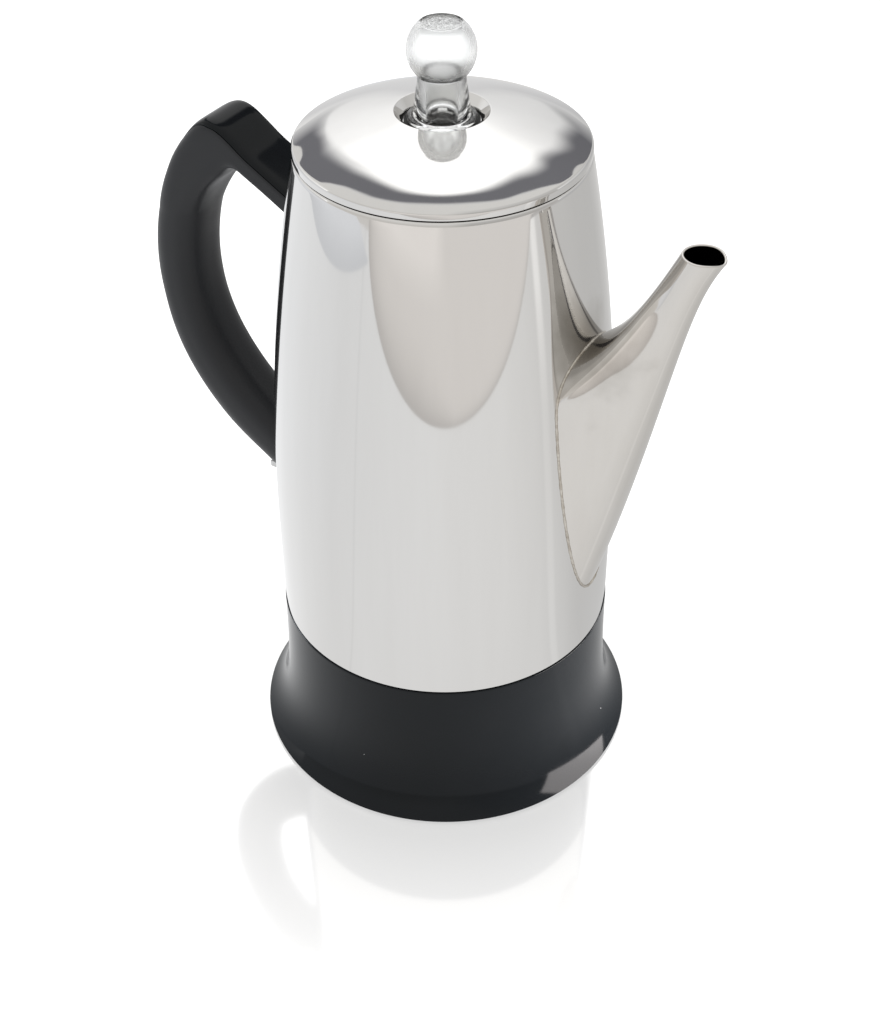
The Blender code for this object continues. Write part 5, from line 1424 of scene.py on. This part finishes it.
def makeWorld():
    # The room round the pot, by direction: an angle that runs from the horizon behind the pot
    # over the top to the horizon behind the camera. A dark gap behind the overhead light widens
    # to both sides
    world = bpy.data.worlds.new("studio")
    bpy.context.scene.world = world
    world.use_nodes = True
    tree = world.node_tree
    background = tree.nodes["Background"]
    way = addNode(tree, "TexCoord")
    turned = addNode(tree, "VectorRotate", {"Vector": way.outputs["Generated"], "Angle": -turnAngle},
                     rotation_type="Z_AXIS")
    parts = addNode(tree, "SeparateXYZ", {0: turned.outputs[0]})
    side, back, up = parts.outputs

    def calc(operation, first, second=0.0):
        return addNode(tree, "Math", {0: first, 1: second}, operation=operation).outputs[0]

    angle = calc("ARCTAN2", up, back)
    share = calc("ADD", calc("DIVIDE", angle, 2 * pi), 0.5)
    ramp = addNode(tree, "ValToRGB", {0: share})
    stops = (
        (-180, (0.74, 0.72, 0.69)), (-150, (0.84, 0.82, 0.80)), (-20, (0.82, 0.82, 0.82)),
        (0, (0.80, 0.80, 0.81)), (7, (1.02, 1.02, 1.02)), (20, (1.22, 1.22, 1.22)),
        (36, (1.38, 1.38, 1.38)), (43, (1.60, 1.60, 1.59)), (90, (1.60, 1.60, 1.58)),
        (91, (0.88, 0.87, 0.85)), (150, (0.78, 0.76, 0.73)), (180, (0.74, 0.72, 0.69)),
    )
    while len(ramp.color_ramp.elements) < len(stops):
        ramp.color_ramp.elements.new(0.5)
    for element, (degree, colour) in zip(ramp.color_ramp.elements, stops):
        element.position = degree / 360 + 0.5
        element.color = (*colour, 1)
    # On a level ceiling: how far back, and how far to the side squared
    height = calc("MAXIMUM", up, 0.02)
    depth = calc("DIVIDE", back, height)
    spread = calc("POWER", calc("DIVIDE", calc("ABSOLUTE", side), height), 2.0)
    wobble = addNode(tree, "TexNoise", {"Vector": turned.outputs[0], "Scale": 4.2, "Detail": 0.6})
    swing = calc("SUBTRACT", wobble.outputs["Fac"], 0.5)
    swing = calc("MULTIPLY", swing, calc("MULTIPLY", spread, 1.3))
    depth = calc("ADD", depth, swing)

    def past(limit, soft):
        over = calc("DIVIDE", calc("SUBTRACT", depth, limit), soft)
        return addNode(tree, "MapRange", {"Value": over, "From Min": -1.0, "From Max": 1.0},
                       interpolation_type="SMOOTHSTEP").outputs[0]

    lower = past(calc("ADD", calc("MULTIPLY", spread, 1.07), 0.265), 0.030)
    softer = calc("ADD", calc("MULTIPLY", spread, 0.55), 0.030)
    upper = past(calc("ADD", calc("MULTIPLY", spread, 2.30), 0.375), softer)
    above = addNode(tree, "MapRange", {"Value": up, "From Min": 0.05, "From Max": 0.30}).outputs[0]

    # In front of the gap the ceiling is a plain pale grey; the right side falls off at the back
    inFront = calc("MULTIPLY", above, calc("SUBTRACT", 1.0, lower))
    ceiling = mixColour(tree, inFront, ramp.outputs[0], (0.88, 0.87, 0.85))
    gapMask = calc("MULTIPLY", above, calc("MULTIPLY", lower, calc("SUBTRACT", 1.0, upper)))
    room = mixColour(tree, gapMask, ceiling, (0.215, 0.215, 0.235))
    links = {"Value": side, "From Min": 0.04, "From Max": 0.34, "To Max": 0.28}
    onRight = addNode(tree, "MapRange", links).outputs[0]
    low = addNode(tree, "MapRange", {"Value": up, "From Min": 0.75, "From Max": 0.30}).outputs[0]
    room = mixColour(tree, calc("MULTIPLY", onRight, low), room, (0.10, 0.10, 0.11))
    # The camera itself sees plain white beyond the floor
    seen = addNode(tree, "LightPath")
    room = mixColour(tree, seen.outputs["Is Camera Ray"], room, (1.05, 1.05, 1.05))
    tree.links.new(room, background.inputs["Color"])
    background.inputs["Strength"].default_value = 1.0


# Soft panels that light only the base: place and aim as right, toward and height
panels = {
    "baseWindow": {
        "spot": (0.200, 0.070, -0.010), "aim": (0.050, 0.070, -0.010), "size": (0.130, 0.240),
        "power": 1.10, "roll": 24, "colour": (1.0, 0.95, 0.94),
    },
    "rightSheen": {
        "spot": (0.220, -0.050, 0.130), "aim": (0.060, 0.0, 0.050), "size": (0.050, 0.120),
        "power": 0.30, "roll": 0, "colour": (1.0, 0.98, 1.0),
    },
    "leftSheen": {
        "spot": (-0.220, -0.030, 0.120), "aim": (-0.060, 0.0, 0.050), "size": (0.070, 0.120),
        "power": 0.45, "roll": 0, "colour": (0.86, 0.92, 1.0),
    },
}


def makePanel(name, panel):
    # The camera doesn't see the panel, and the base skirt alone is lit by it
    light = bpy.data.lights.new(name, "AREA")
    light.shape = "RECTANGLE"
    light.size, light.size_y = panel["size"]
    light.energy, light.color = panel["power"], panel["colour"]
    lamp = bpy.data.objects.new(name, light)
    spot, aim = (
        Vector(onFloor(np.array(right), np.array(toward), height))
        for right, toward, height in (panel["spot"], panel["aim"])
    )
    turn = (aim - spot).to_track_quat("-Z", "Y").to_matrix().to_4x4()
    lamp.matrix_world = Matrix.Translation(spot) @ turn @ Matrix.Rotation(radians(panel["roll"]), 4, "Z")
    lamp.visible_camera = False
    bpy.context.scene.collection.objects.link(lamp)
    lit = bpy.data.collections.new(name + "Lit")
    lit.objects.link(bpy.data.objects["baseSkirt"])
    lamp.light_linking.receiver_collection = lit


def makeCamera():
    camera = bpy.data.objects.new("camera", bpy.data.cameras.new("camera"))
    camera.data.lens = studio["lens"]
    camera.data.clip_start, camera.data.clip_end = 0.01, 50
    spot = onFloor(np.array(0.0), np.array(studio["away"]), studio["height"])
    look = Matrix.Rotation(turnAngle, 4, "Z") @ Matrix.Rotation(pi / 2 - radians(studio["tilt"]), 4, "X")
    level = Matrix.Rotation(0.0030, 4, "Y") @ Matrix.Rotation(-0.0071, 4, "Z")
    camera.matrix_world = Matrix.Translation(Vector(spot)) @ look @ level
    bpy.context.scene.collection.objects.link(camera)
    bpy.context.scene.camera = camera


makeFloor()
tableCard()
frontCard()
sideCard()
makeWorld()
for panelName, panelValues in panels.items():
    makePanel(panelName, panelValues)
makeCamera()
bpy.context.scene.view_settings.view_transform = "Standard"
print("studio done")
